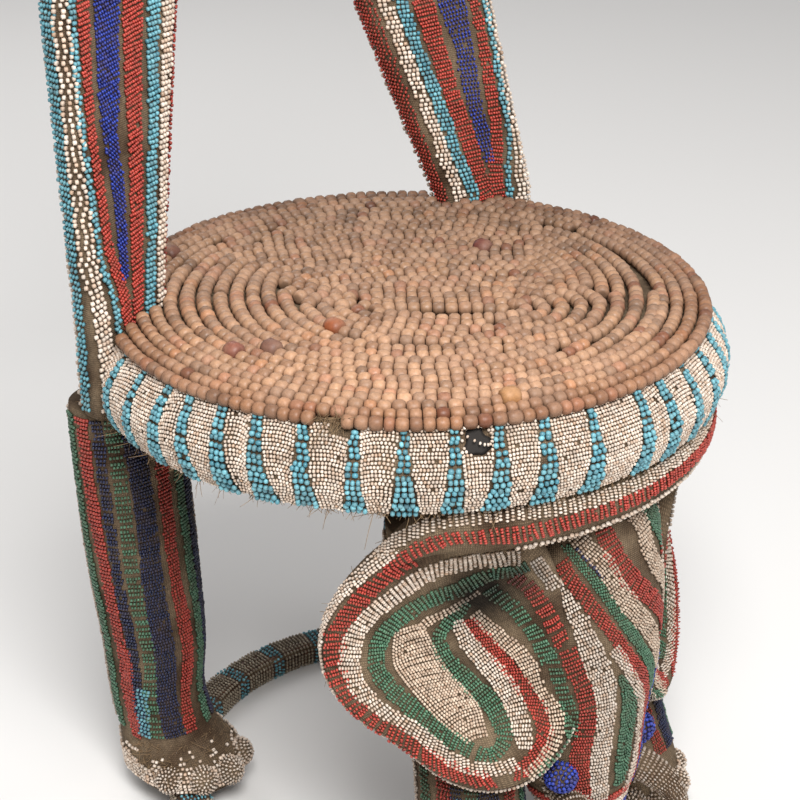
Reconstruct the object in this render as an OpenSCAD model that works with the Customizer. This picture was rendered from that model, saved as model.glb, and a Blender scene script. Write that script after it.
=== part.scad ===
// Beaded throne: a round seat carried by a standing elephant on a floor ring,
// with a leaning arched back. Millimetres, +Z up, front towards -Y,
// origin on the floor under the middle of the seat.

/* [Seat] */
// Diameter over the seat's outermost row of wooden beads
seat_d = 460; // [440:2:480]
// Height of the seat's top above the floor
seat_h = 440; // [420:2:460]
// Height of the seat's beaded edge
rim_h = 68; // [64:1:76]
// How far the edge swells out past the seat's top
rim_swell = 12; // [8:1:16]
// Diameter of a wooden seat bead
bead_d = 10.2; // [9.6:0.1:10.4]
// Distance from one row of seat beads to the next
row_pitch = 10.8; // [10.8:0.1:11.4]
// Thickness of the sewn cover cloth
cloth_t = 1.5; // [1:0.1:2]
// Thickness of the small white beadwork on the edge
white_bead_t = 3; // [2.5:0.1:3.5]
// Thickness of the larger turquoise beadwork on the edge
turquoise_bead_t = 4.6; // [4:0.1:5]
// Number of turquoise columns round the edge
column_n = 44; // [30:1:46]

/* [Floor ring] */
// Radius of the floor ring at the middle of its section
ring_r = 190; // [184:1:196]
// Width of the ring's section
ring_w = 26; // [24:1:30]
// Height of the ring's section
ring_t = 20; // [18:1:24]

/* [Elephant] */
// Half the width of the body
body_half_w = 118; // [110:1:124]
// Depth of the body under the seat
body_depth = 104; // [94:1:110]
// Half the length of the body
body_half_l = 165; // [158:1:168]
// How far inside the seat's radius the middle of the ears lies
ear_in = 10; // [6:1:14]
// Thickness of an ear at its rim
ear_t = 22; // [18:1:24]
// Depth of the hollow in an ear
ear_hollow = 26; // [18:1:30]
// Radius of a tusk at its root
tusk_root_r = 13; // [10:0.5:15]

/* [Back] */
// Height of the joint between uprights and crest, above the seat
upright_h = 380; // [350:5:400]
// Rise of the crest above that joint
crest_h = 130; // [110:2:150]
// Thickness of the back
back_t = 28; // [24:1:32]
// Height of the bands of beadwork along the back
band_t = 3; // [2:0.5:4]
// Angle at which the back leans
back_lean = 9.5; // [7:0.5:10]
// Angle at which the inner edges of the uprights run together
inner_slope = 17; // [15:0.5:18]
// Angle at which the outer edges of the uprights run in
outer_slope = 6; // [5:0.5:8]

/* [Hidden] */
$fn = 48;

// Gap left between pieces whose curved faces would otherwise touch
clear = 0.3;
// Extra radius of a bore over its peg or dowel
peg_fit = 0.15;
// How far a cutting shape runs past what it cuts
over = 5;

// Levels and radii that several pieces share
board_z = seat_h - rim_h;
cloth_z = seat_h - bead_d;
board_top = cloth_z - cloth_t;
seat_r = seat_d / 2;
board_r = seat_r - 8;
// The edge is a little wider at its foot than at the seat's top
rim_foot_out = 12;
edge_steps = 8;

// Left and right of the back. It was carved by eye, so it stands a little to the right.
LEFT = 0;
RIGHT = 1;
upright_in = [94 - seat_r, seat_r - 63];
upright_out = [2 - seat_r, seat_r + 8];
back_curve_r = 546;
back_front_y = seat_r - 91;
joint_z = seat_h + upright_h;

// Front and hind feet, in the left half
front_foot = polar(ring_r - 14, 180 + 60.8);
hind_foot = polar(ring_r + 15, 180 - 42);
peg_at = [polar(ring_r, 180 + 60.8), polar(ring_r, 180 - 42), polar(ring_r, -60.8), polar(ring_r, 42)];
peg_r = 6;
peg_z = 5;
peg_len = 36;
trunk_y = -ring_r - 2;
head_y = 60 - seat_r;
ear_r = seat_r - ear_in;

body_mid_y = 8;
body_dowel_r = 12;
body_dowel_y = [-70, 10, 90];
post_dowel_r = 8;
crest_dowel_r = 7;
dowel_half = 30;

// Colours as the beadwork shows them
white_glass = "#dccabb";
turquoise_glass = "#54a3b0";
red_glass = "#ac342e";
green_glass = "#35705a";
blue_glass = "#223a8c";
seed_wood = "#96684f";
cover_cloth = "#6f5b48";
carved_wood = "#5a4030";

function polar(r, a) = [r * cos(a), r * sin(a)];
function mix(a, b, t) = a + (b - a) * t;
// Height at a share of the way from the ring up to the seat board
function up(share) = mix(ring_t, board_z, share);
function power(v, e) = sign(v) * pow(abs(v), e);
function mean(loop) = [for (k = [0:2]) [for (p = loop) p[k]] * [for (p = loop) 1] / len(loop)];

// Smooth curve through the rows of a table, with steps pieces between two rows
function bent(a, b, c, d, t) =
    0.5 * (2 * b + (c - a) * t + (2 * a - 5 * b + 4 * c - d) * t * t + (3 * b - a - 3 * c + d) * t * t * t);
function smooth(rows, steps) = let (last = len(rows) - 1) [
    for (i = [0:last - 1], s = [0:steps - 1])
        bent(rows[max(i - 1, 0)], rows[i], rows[i + 1], rows[min(i + 2, last)], s / steps),
    rows[last]
];

// Level loop of a limb: an ellipse made squarer by the exponent
function level_loop(row, sides, squareness) = [
    for (k = [0:sides - 1]) let (a = 360 * k / sides)
        [row[1] + row[3] * power(cos(a), squareness), row[2] + row[4] * power(sin(a), squareness), row[0]]
];

// Closed skin over a stack of loops that have equally many points
module skin(loops) {
    n = len(loops[0]);
    m = len(loops);
    points = [for (loop = loops) each loop, mean(loops[0]), mean(loops[m - 1])];
    sides = [
        for (i = [0:m - 2], j = [0:n - 1]) let (a = i * n + j, b = i * n + (j + 1) % n)
            each [[a, b + n, b], [a, a + n, b + n]]
    ];
    ends = [
        for (j = [0:n - 1]) let (k = (j + 1) % n)
            each [[m * n, j, k], [m * n + 1, (m - 1) * n + k, (m - 1) * n + j]]
    ];
    polyhedron(points, concat(sides, ends), convexity = 6);
}

// Upright limb through rows of [height, x, y, half width in x, half width in y]
module limb(rows, sides = 20, squareness = 0.86, steps = 2) {
    skin([for (row = smooth(rows, steps)) level_loop(row, sides, squareness)]);
}

// Tapered round bar along points given as [x, y, z, radius], lying in an upright plane
module bar(rows, sides = 12, steps = 2, heading = 90) {
    path = smooth(rows, steps);
    last = len(path) - 1;
    skin([
        for (i = [0:last]) let (
            before = path[max(i - 1, 0)], after = path[min(i + 1, last)],
            run = [after[0] - before[0], after[1] - before[1], after[2] - before[2]],
            along = run / norm(run), flat = [-sin(heading), cos(heading), 0], up = cross(along, flat)
        ) [
            for (k = [0:sides - 1]) let (a = 360 * k / sides)
                [path[i][0], path[i][1], path[i][2]] + path[i][3] * (cos(a) * flat + sin(a) * up)
        ]
    ]);
}

// Mirror for the right half of the elephant
module on_side(right) {
    if (right) mirror([1, 0, 0]) children();
    else children();
}

// Floor ring, flat below and above, with bevelled edges and a hole for each peg
ring_bevel = 4;
module base_ring_form() {
    low = ring_r - ring_w / 2;
    high = ring_r + ring_w / 2;
    rotate_extrude($fn = 96) polygon([
        [low + ring_bevel, 0], [high - ring_bevel, 0], [high, ring_bevel], [high, ring_t - ring_bevel],
        [high - ring_bevel, ring_t], [low + ring_bevel, ring_t], [low, ring_t - ring_bevel], [low, ring_bevel]
    ]);
}
module peg_holes(low) {
    for (p = concat(peg_at, [[0, -ring_r]]))
        translate([p[0], p[1], low]) cylinder(r = peg_r + peg_fit, h = peg_z + peg_len + 1 - low);
}
module base_ring() {
    color(carved_wood) difference() {
        base_ring_form();
        peg_holes(peg_z);
    }
}

// Pegs that hold the feet and the trunk on the ring
module ring_pegs() {
    color(carved_wood) for (p = concat(peg_at, [[0, -ring_r]]))
        translate([p[0], p[1], peg_z]) cylinder(r = peg_r, h = peg_len);
}

// Body: a barrel with a flat top that carries the seat board
module body_form() {
    sides = 22;
    squareness = 0.86;
    skin([
        for (i = [0:14]) let (
            a = -84 + 12 * i,
            y = body_mid_y + body_half_l * sin(a),
            size = pow(cos(a), 0.72)
        ) [
            for (k = [0:sides]) let (b = 180 + 180 * k / sides)
                [-body_half_w * size * power(cos(b), squareness), y,
                 board_z + body_depth * size * power(sin(b), squareness)]
        ]
    ]);
}
module body_dowel_holes() {
    for (y = body_dowel_y) translate([0, y, board_z - dowel_half - 1])
        cylinder(r = body_dowel_r + peg_fit, h = 2 * dowel_half + 2);
}
module body() {
    color(cover_cloth) difference() {
        body_form();
        body_dowel_holes();
    }
}

// Head and trunk: one smooth shape, split level at the mouth
mouth_z = up(0.215);
head_rows = [
    [board_z - 2, 0, head_y + 8, 56, 48],
    [up(0.89), 0, head_y + 5, 63, 57],
    [up(0.74), 0, head_y + 2, 69, 63],
    [up(0.6), 0, head_y, 69, 66],
    [up(0.48), 0, head_y - 2, 63, 64],
    [up(0.355), 0, head_y - 7, 53, 54],
    [mouth_z, 0, head_y - 12, 45, 46]
];
trunk_rows = [
    [mouth_z, 0, head_y - 12, 45, 46],
    [up(0.16), 0, trunk_y + 6, 38, 37],
    [up(0.1), 0, trunk_y, 31, 29],
    [up(0.04), 0, trunk_y - 2, 27, 25],
    [ring_t, 0, trunk_y, 25, 23]
];
module head_form() {
    limb(reversed(head_rows), 26, 0.9);
}
module trunk_form() {
    limb(reversed(trunk_rows), 26, 0.9);
}
module head() {
    color(red_glass) difference() {
        head_form();
        body_form();
        brow_form();
    }
}
module trunk() {
    color(white_glass) difference() {
        trunk_form();
        peg_holes(0);
    }
}

// Brow fold: the rounded roll that runs level under the seat's edge and bends down at both
// ends into the upper edge of the ears, where it gets thinner
brow_half_angle = 55;
brow_level = 35;
brow_bend = 0.14;
brow_half_h = 19.5;
brow_half_depth = 17;
brow_r = seat_r + 7;
brow_end_in = 15;
brow_steps = 28;
module brow_form(sides = 14, squareness = 0.84) {
    skin([
        for (i = [0:brow_steps]) let (
            across = 2 * i / brow_steps - 1, a = brow_half_angle * across,
            bend = max(abs(a) - brow_level, 0), share = bend / (brow_half_angle - brow_level),
            size = mix(1, 0.62, share) * max(pow(1 - pow(across, 12), 0.5), 0.4),
            middle_z = board_z - clear - brow_half_h - brow_bend * pow(bend, 2)
        ) [
            for (k = [0:sides - 1]) let (
                b = 360 * k / sides,
                r = brow_r - brow_end_in * share - brow_half_depth * (1 - size * power(cos(b), squareness))
            ) concat(polar(r, a - 90), [middle_z - brow_half_h * size * power(sin(b), squareness)])
        ]
    ]);
}
module brow_fold() {
    color(white_glass) brow_form();
}

// Ears: cupped leaves, wrapped round an upright cylinder, long axis from the top rear
// to the lower front. Their outline is a tilted oval that is fuller at the lower front
// and rises to the brow fold.
ear_angle = 180 + 54.5;
ear_z = up(0.605);
ear_tilt = -55;
// The hollow's deepest place lies a little below and before the middle
ear_dip = [6, -12];
function ear_outline(a) =
    101 + 14.5 * cos(2 * (a - ear_tilt)) + 5 * cos(a - 45) + 9 * cos(3 * (a - ear_tilt))
    + 14 * pow(max(cos(a - 80), 0), 3);
function on_ear(a, part, r) = let (
    u = ear_outline(a) * part * cos(a) + (1 - part) * ear_dip[0],
    v = ear_outline(a) * part * sin(a) + (1 - part) * ear_dip[1],
    turn = ear_angle + u / ear_r * 180 / PI
) [r * cos(turn), r * sin(turn), ear_z + v];
ear_front = [[0.22, 1], [0.45, 0.92], [0.64, 0.6], [0.78, 0.22], [0.9, 0], [0.97, 0.04]];
ear_back = [[0.97, 0.9], [0.88, 1.08], [0.66, 1.5], [0.4, 1.9], [0.18, 2.05]];
module ear_form(sides = 32) {
    skin([
        for (f = ear_front)
            [for (k = [0:sides - 1]) on_ear(-360 * k / sides, f[0], ear_r - ear_hollow * f[1])],
        [for (k = [0:sides - 1]) on_ear(-360 * k / sides, 1, ear_r - ear_t / 2)],
        for (b = ear_back)
            [for (k = [0:sides - 1]) on_ear(-360 * k / sides, b[0], ear_r - ear_t * b[1])]
    ]);
}
module ear(right) {
    color(green_glass) on_side(right) difference() {
        ear_form();
        head_form();
        brow_form();
        body_form();
    }
}
module ear_left() { ear(false); }
module ear_right() { ear(true); }

// Legs, with flat soles on the ring
front_leg_rows = [
    [ring_t, front_foot[0] - 2, front_foot[1] - 10, 42, 46],
    [ring_t + 26, front_foot[0] - 1, front_foot[1] - 6, 43, 46],
    [ring_t + 60, front_foot[0], front_foot[1], 38, 40],
    [up(0.34), front_foot[0] + 8, front_foot[1] + 14, 38, 40],
    [up(0.48), front_foot[0] + 16, front_foot[1] + 30, 40, 42],
    [up(0.64), front_foot[0] + 22, front_foot[1] + 44, 44, 46],
    [up(0.8), front_foot[0] + 26, front_foot[1] + 52, 44, 46]
];
module front_leg_form() {
    limb(front_leg_rows);
}
module front_leg(right) {
    color(blue_glass) on_side(right) difference() {
        front_leg_form();
        body_form();
        head_form();
        trunk_form();
        ear_form();
        peg_holes(0);
    }
}
module front_leg_left() { front_leg(false); }
module front_leg_right() { front_leg(true); }

// Middle and half width of an upright's foot, which the hind leg below meets
function foot_x(side) = (upright_in[side] + upright_out[side]) / 2;
function foot_half(side) = abs(upright_out[side] - upright_in[side]) / 2;
function foot_y(side) = back_y(foot_x(side), seat_h) + back_t / 2;
function hind_leg_rows(side) = let (
    top = [side == RIGHT ? -foot_x(side) : foot_x(side), foot_y(side)],
    low = hind_foot
) [
    [ring_t, low[0] + 3, low[1] - 22, 43, 52],
    [ring_t + 18, low[0] + 2, low[1] - 19, 43, 50],
    [ring_t + 38, low[0] - 2, low[1] - 8, 37, 40],
    [ring_t + 66, low[0] - 6, low[1] - 3, 35, 37],
    [up(0.34), mix(low[0], top[0], 0.25), mix(low[1], top[1], 0.2), 38, 39],
    [up(0.55), mix(low[0], top[0], 0.55), mix(low[1], top[1], 0.5), 42, 38],
    [up(0.8), mix(low[0], top[0], 0.85), mix(low[1], top[1], 0.8), 44, 34],
    [board_z, top[0], top[1], foot_half(side), back_t / 2 + 16]
];
module hind_leg_form(side) {
    limb(hind_leg_rows(side));
}
module hind_leg(side) {
    color(blue_glass) difference() {
        on_side(side == RIGHT) hind_leg_form(side);
        body_form();
        peg_holes(0);
        post_holes();
    }
}
module hind_leg_left() { hind_leg(LEFT); }
module hind_leg_right() { hind_leg(RIGHT); }

// Toenails: round bosses along the front of each foot, cut to lie on it
nail_r = 11;
nail_z = ring_t + nail_r + 1;
nail_out = 0.96;
nail_angles = [-150, -115, -80, -45];
module nails(row, foot_x_half, foot_y_half) {
    for (a = nail_angles) translate([
        row[1] + nail_out * foot_x_half * cos(a),
        row[2] + nail_out * foot_y_half * sin(a),
        nail_z
    ]) sphere(r = nail_r, $fn = 24);
}
module toenails() {
    color(white_glass) for (right = [false, true]) on_side(right) {
        difference() {
            nails(front_leg_rows[0], 43, 46);
            front_leg_form();
        }
        difference() {
            nails(hind_leg_rows(right ? RIGHT : LEFT)[0], 43, 52);
            hind_leg_form(right ? RIGHT : LEFT);
        }
    }
}

// Eyes: round bosses low on the head, in front of the ears
eye_at = [-46, head_y - 38, mouth_z + 21];
eye_r = 11;
module eyes() {
    color(blue_glass) for (right = [false, true]) on_side(right) difference() {
        translate(eye_at) sphere(r = eye_r, $fn = 12);
        head_form();
        ear_form();
    }
}

// Tusks: short, curving forward from the lower corners of the head
tusk_rows = [
    [-30, head_y - 26, mouth_z + 1, tusk_root_r],
    [-43, head_y - 50, mouth_z - 9, tusk_root_r],
    [-50, head_y - 68, mouth_z - 21, tusk_root_r - 2.5],
    [-51, head_y - 78, mouth_z - 32, tusk_root_r - 5.5],
    [-50, head_y - 82, mouth_z - 42, 4]
];
module tusk(right) {
    color(white_glass) on_side(right) difference() {
        bar(tusk_rows, 14, 2, 80);
        head_form();
        trunk_form();
        ear_form();
    }
}
module tusk_left() { tusk(false); }
module tusk_right() { tusk(true); }

// Tail: lies on the rump
tail_rows = [
    [0, body_mid_y + body_half_l - 16, board_z - 14, 10],
    [0, body_mid_y + body_half_l - 2, board_z - 34, 9],
    [0, body_mid_y + body_half_l - 2, board_z - 62, 8],
    [0, body_mid_y + body_half_l - 14, board_z - 84, 9],
    [0, body_mid_y + body_half_l - 26, board_z - 98, 7]
];
module tail() {
    color(red_glass) difference() {
        bar(tail_rows, 12, 2, 90);
        body_form();
    }
}

// Edge of the seat: wood, cloth and beadwork follow the same swelling curve
function edge_x(part, out) =
    board_r + mix(rim_foot_out, 0, part) + rim_swell * sin(180 * part) + out;
function edge_z(part) = mix(board_z, board_top, part);
function edge_points(out, low = 0, high = 1) =
    [for (s = [0:edge_steps]) let (part = mix(low, high, s / edge_steps)) [edge_x(part, out), edge_z(part)]];
function reversed(list) = [for (i = [len(list) - 1:-1:0]) list[i]];
module edge_layer(inner, outer) {
    polygon(concat(edge_points(outer), reversed(edge_points(inner))));
}

// Sections of the back, which curves round the sitter and leans
function back_y(x, z) =
    back_front_y - back_curve_r + sqrt(pow(back_curve_r, 2) - x * x) + max(z - seat_h, 0) * tan(back_lean);
function in_edge(side, z) =
    upright_in[side] + (side == LEFT ? 1 : -1) * max(z - seat_h, 0) * tan(inner_slope);
function out_edge(side, z) =
    upright_out[side] + (side == LEFT ? 1 : -1) * max(z - seat_h, 0) * tan(outer_slope);

// Section of the back: points as [share of the half width, share of the half thickness,
// share of a band's height outwards across, and through]. Bands of beadwork lie side by
// side with a strip of cloth between two, and one runs down each narrow side.
slab_squareness = 0.42;
band_n = 6;
face_reach = 0.92;
band_profile = [[0.06, 0], [0.2, 1], [0.8, 1], [0.94, 0]];
side_profile = [[0.55, 0], [0.4, 1], [-0.4, 1], [-0.55, 0]];
function slab_v(u) = pow(1 - pow(abs(u), 2 / slab_squareness), slab_squareness / 2);
banded_face = [
    for (i = [0:band_n - 1], p = band_profile) let (u = mix(-face_reach, face_reach, (i + p[0]) / band_n))
        [u, -slab_v(u), 0, -p[1]]
];
banded_side = [for (p = side_profile) [slab_v(p[0]), -p[0], p[1], 0]];
back_section = [
    each banded_face, each banded_side,
    for (p = banded_face) -p,
    for (p = banded_side) -p
];
// One turn round the section between two edges of the back, given as points [x, z]
function middle_y(at) = back_y(at[0], at[1]) + back_t / 2;
function half_way(edges) = (edges[0] + edges[1]) / 2;
function way(edges) = (edges[1] - edges[0]) / norm(edges[1] - edges[0]);
function back_loop(edges, lift, grow = 0) = let (half = norm(edges[1] - edges[0]) / 2 + grow) [
    for (p = back_section) let (at = half_way(edges) + way(edges) * (half * p[0] + lift * p[2]))
        [at[0], middle_y(at) + (back_t / 2 + grow) * p[1] + lift * p[3], at[1]]
];
// Circle round a dowel's bore in the end of an upright or of the crest, with as many points
cap_r = 11;
function cap_loop(edges) = let (middle = half_way(edges), n = len(back_section)) [
    for (k = [0:n - 1])
        let (a = 360 * (k - (len(banded_face) - 1) / 2) / n - 90, at = middle + way(edges) * cap_r * cos(a))
            [at[0], middle_y(middle) + cap_r * sin(a), at[1]]
];
function upright_edges(side, z) =
    let (a = in_edge(side, z), b = out_edge(side, z)) [[min(a, b), z], [max(a, b), z]];
module post_cut() {
    for (side = [LEFT, RIGHT]) translate([0, 0, board_z - over]) linear_extrude(rim_h + 3 * over)
        polygon([for (p = back_loop(upright_edges(side, seat_h), 0, clear)) [p[0], p[1]]]);
}
module post_holes() {
    for (side = [LEFT, RIGHT]) translate([foot_x(side), foot_y(side), board_z - dowel_half - 1])
        cylinder(r = post_dowel_r + peg_fit, h = 2 * dowel_half + 2);
}

// Seat board: a thick wooden disc, notched for the two uprights
module seat_board() {
    color(carved_wood) difference() {
        rotate_extrude($fn = 96) polygon(concat([[0, board_z]], edge_points(0), [[0, board_top]]));
        post_cut();
        body_dowel_holes();
    }
}
module body_dowels() {
    color(carved_wood) for (y = body_dowel_y) translate([0, y, board_z - dowel_half])
        cylinder(r = body_dowel_r, h = 2 * dowel_half);
}
module post_dowels() {
    color(carved_wood) for (side = [LEFT, RIGHT])
        translate([foot_x(side), foot_y(side), board_z - dowel_half])
            cylinder(r = post_dowel_r, h = 2 * dowel_half);
}

// Cloth round the edge of the seat
module rim_cloth() {
    color(cover_cloth) difference() {
        rotate_extrude($fn = 96) edge_layer(0, cloth_t);
        post_cut();
    }
}

// Beadwork of the edge: white panels between turquoise columns that widen downwards
// One column faces the front left
column_from = 225;
column_top_w = 8;
column_foot_w = 19;
module column_wedge(wide) {
    reach = seat_r + rim_swell + 4 * over;
    rotate([90, 0, 90]) linear_extrude(reach) polygon([
        [-column_foot_w / 2 - wide, board_z - over], [column_foot_w / 2 + wide, board_z - over],
        [column_top_w / 2 + wide, board_top + over], [-column_top_w / 2 - wide, board_top + over]
    ]);
}
module rim_white_panels() {
    step = 360 / column_n;
    color(white_glass) difference() {
        rotate_extrude($fn = 96) edge_layer(cloth_t, cloth_t + white_bead_t);
        for (i = [0:column_n - 1]) rotate([0, 0, column_from + step * i]) column_wedge(0);
        post_cut();
    }
}
module rim_turquoise_columns() {
    step = 360 / column_n;
    color(turquoise_glass) difference() {
        for (i = [0:column_n - 1]) intersection() {
            rotate([0, 0, column_from + step * (i - 0.5)]) rotate_extrude(angle = step, $fn = 96)
                edge_layer(cloth_t, cloth_t + turquoise_bead_t);
            rotate([0, 0, column_from + step * i]) column_wedge(0);
        }
        post_cut();
    }
}

// Cloth over the seat, under the wooden beads
module seat_cloth() {
    color(cover_cloth) difference() {
        translate([0, 0, board_top]) cylinder(r = board_r, h = cloth_t, $fn = 96);
        post_cut();
    }
}

// Seat beads: one string wound from the middle outwards as far as the uprights allow
edge_rows = 4;
string_start_r = 9;
edge_row_r = [for (i = [1:edge_rows]) seat_r - bead_d / 2 - row_pitch * (edge_rows - i)];
string_turns = floor((edge_row_r[0] - row_pitch - string_start_r) / row_pitch * 24) / 24;
string_z = cloth_z + bead_d / 2 * cos(30) + 0.05;
function string_r(turn) = edge_row_r[0] - row_pitch * (1 + string_turns - turn);
function string_point(i) = concat(polar(string_r(i / 24), -15 * i), [string_z]);
function string_loop(i) = let (out = polar(1, -15 * i)) [
    for (k = [0:5]) let (a = 60 * k)
        string_point(i) + bead_d / 2 * [out[0] * cos(a), out[1] * cos(a), sin(a)]
];
string_last = round(string_turns * 24);
string_gap = min([
    for (i = [0:string_last - 25])
        norm(string_point(i + 24) - string_point(i)) * cos(7.5) - bead_d
]);
echo(least_gap_between_turns_mm = string_gap);
module seat_bead_string() {
    color(seed_wood) skin([for (i = [0:string_last]) string_loop(i)]);
}

// The outer rows are shorter strings that stop at the uprights
module edge_bead_rows() {
    color(seed_wood) difference() {
        for (r = edge_row_r) rotate_extrude($fn = 96)
            translate([r, cloth_z + bead_d / 2 + 0.05]) circle(d = bead_d, $fn = 24);
        post_cut();
    }
}

// Uprights: broad curved slabs that widen upwards and run together. Their bands of
// beadwork start just above the seat.
upright_levels = [0.12, 0.32, 0.54, 0.77, 1];
band_from = 4;
module upright(side) {
    levels = concat(
        [[board_z, 0], [seat_h + band_from, 0], [seat_h + band_from + band_t, band_t]],
        [for (f = upright_levels) [mix(seat_h, joint_z, f), band_t]]
    );
    difference() {
        skin([
            cap_loop(upright_edges(side, board_z)),
            for (level = levels) back_loop(upright_edges(side, level[0]), level[1]),
            cap_loop(upright_edges(side, joint_z))
        ]);
        post_holes();
        crest_holes();
    }
}
module upright_left() { color(blue_glass) upright(LEFT); }
module upright_right() { color(blue_glass) upright(RIGHT); }

// Crest: carries the uprights' section round an arch, from one joint to the other
crest_from = out_edge(LEFT, joint_z);
crest_to = out_edge(RIGHT, joint_z);
crest_mid = (crest_from + crest_to) / 2;
crest_half = (crest_to - crest_from) / 2;
arch_mid = (in_edge(LEFT, joint_z) + in_edge(RIGHT, joint_z)) / 2;
arch_r = (in_edge(RIGHT, joint_z) - in_edge(LEFT, joint_z)) / 2;
crest_steps = 16;
function crest_edges(a) = [
    [crest_mid + crest_half * power(cos(a), 0.9), joint_z + crest_h * sin(a)],
    [arch_mid + arch_r * cos(a), joint_z + arch_r * sin(a)]
];
module crest() {
    color(blue_glass) difference() {
        skin([
            cap_loop(crest_edges(180)),
            for (i = [0:crest_steps]) back_loop(crest_edges(180 - 180 * i / crest_steps), band_t),
            cap_loop(crest_edges(0))
        ]);
        crest_holes();
    }
}

// Dowels that pin the crest to the uprights, leaning with the back
function dowel_x(side) = (in_edge(side, joint_z) + out_edge(side, joint_z)) / 2;
module lean_dowels(r, half) {
    for (side = [LEFT, RIGHT])
        translate([dowel_x(side), back_y(dowel_x(side), joint_z) + back_t / 2, joint_z])
            rotate([-back_lean, 0, 0]) translate([0, 0, -half]) cylinder(r = r, h = 2 * half);
}
module crest_holes() {
    lean_dowels(crest_dowel_r + peg_fit, dowel_half + 1);
}
module crest_dowels() {
    color(carved_wood) lean_dowels(crest_dowel_r, dowel_half);
}

base_ring();
ring_pegs();
front_leg_left();
front_leg_right();
hind_leg_left();
hind_leg_right();
toenails();
body();
tail();
head();
trunk();
brow_fold();
ear_left();
ear_right();
eyes();
tusk_left();
tusk_right();
seat_board();
body_dowels();
post_dowels();
rim_cloth();
rim_white_panels();
rim_turquoise_columns();
seat_cloth();
seat_bead_string();
edge_bead_rows();
upright_left();
upright_right();
crest();
crest_dowels();
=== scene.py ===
import bpy
import numpy as np
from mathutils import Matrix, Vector


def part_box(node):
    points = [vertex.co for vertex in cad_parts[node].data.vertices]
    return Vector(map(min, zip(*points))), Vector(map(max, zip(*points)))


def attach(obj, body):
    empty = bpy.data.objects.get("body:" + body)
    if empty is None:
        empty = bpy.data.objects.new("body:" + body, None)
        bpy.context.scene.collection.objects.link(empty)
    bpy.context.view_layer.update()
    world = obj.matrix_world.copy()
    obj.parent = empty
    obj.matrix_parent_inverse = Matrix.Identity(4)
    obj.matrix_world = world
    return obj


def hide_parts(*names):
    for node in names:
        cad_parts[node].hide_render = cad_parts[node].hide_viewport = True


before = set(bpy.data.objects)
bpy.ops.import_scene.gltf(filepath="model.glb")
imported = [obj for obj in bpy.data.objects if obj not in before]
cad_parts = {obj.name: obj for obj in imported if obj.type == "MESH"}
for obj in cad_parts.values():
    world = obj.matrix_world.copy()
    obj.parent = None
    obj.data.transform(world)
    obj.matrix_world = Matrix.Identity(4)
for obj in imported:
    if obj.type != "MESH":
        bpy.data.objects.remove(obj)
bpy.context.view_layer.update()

# Floor ring
# A slim wooden ring sewn into cloth. Strings of pale beads lie along it in bundles,
# tied down by bands of turquoise beads every few centimetres.
MM = 0.001
chance = np.random.default_rng(20)


def node_mm(name):
    """Lowest and highest corner of a CAD node, in millimetres to a tenth."""
    return np.round(np.array(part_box(name)) / MM, 1)


def linear(code):
    """The linear colour, with alpha, of an sRGB hex value."""
    value = np.array([int(code[i:i + 2], 16) for i in (1, 3, 5)]) / 255
    value = np.where(value <= 0.04045, value / 12.92, ((value + 0.055) / 1.055) ** 2.4)
    return (*value.tolist(), 1.0)


def add_node(tree, kind, settings=None, **inputs):
    """A new shader node. Inputs are values or nodes' outputs; _ is a space in a name, n0 is socket 0."""
    made = tree.nodes.new("ShaderNode" + kind)
    for name, value in (settings or {}).items():
        setattr(made, name, value)
    for name, value in inputs.items():
        socket = made.inputs[int(name[1:])] if name[1:].isdigit() else made.inputs[name.replace("_", " ")]
        if isinstance(value, bpy.types.NodeSocket):
            tree.links.new(value, socket)
        else:
            socket.default_value = value
    return made


def finish_called(name, **plain):
    """A material with one shader. Values that are the same all over are set on the shader's own sockets."""
    made = bpy.data.materials.new(name)
    made.use_nodes = True
    shader = made.node_tree.nodes["Principled BSDF"]
    for socket, value in plain.items():
        shader.inputs[socket.replace("_", " ")].default_value = value
    return made, made.node_tree, shader


# Coarse plain-woven cotton, brown with age: dull, threads 1.6 mm apart so that they show,
# stained in patches a few centimetres wide
cover_cloth, tree, shader = finish_called("woven_cotton_cloth", Roughness=0.92, Specular_IOR_Level=0.2)
place = add_node(tree, "UVMap", {"uv_map": "cloth"})
THREAD = 1.6 * MM
# A wave texture's bands repeat every pi / 10 at scale 1
threads = [
    add_node(tree, "TexWave", {"wave_type": "BANDS", "bands_direction": way}, Vector=place.outputs[0],
             Scale=np.pi / 10 / THREAD, Distortion=1.2, Detail=1.0, Detail_Scale=0.6)
    for way in ("X", "Y")
]
weave = add_node(tree, "Math", {"operation": "MULTIPLY"}, n0=threads[0].outputs["Fac"],
                 n1=threads[1].outputs["Fac"])
body_place = add_node(tree, "TexCoord")
stain = add_node(tree, "TexNoise", Vector=body_place.outputs["Object"], Scale=1 / (38 * MM), Detail=5.0)
speck = add_node(tree, "TexNoise", Vector=body_place.outputs["Object"], Scale=1 / (3 * MM), Detail=3.0)
aged = add_node(tree, "ValToRGB", Fac=stain.outputs["Fac"])
aged.color_ramp.elements[0].position = 0.32
aged.color_ramp.elements[0].color = linear("#5d4836")
aged.color_ramp.elements[1].position = 0.68
aged.color_ramp.elements[1].color = linear("#a08a6f")
lit = add_node(tree, "Mix", {"data_type": "RGBA", "blend_type": "MULTIPLY"}, Factor=0.55,
               n6=aged.outputs[0], n7=weave.outputs[0])
flecked = add_node(tree, "Mix", {"data_type": "RGBA", "blend_type": "OVERLAY"}, Factor=0.5,
                   n6=lit.outputs[2], n7=speck.outputs["Fac"])
tree.links.new(flecked.outputs[2], shader.inputs["Base Color"])
ribs = add_node(tree, "Bump", Strength=0.8, Distance=0.6 * MM, Height=weave.outputs[0])
fuzz = add_node(tree, "Bump", Strength=0.5, Distance=0.5 * MM, Height=speck.outputs["Fac"],
                Normal=ribs.outputs[0])
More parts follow.
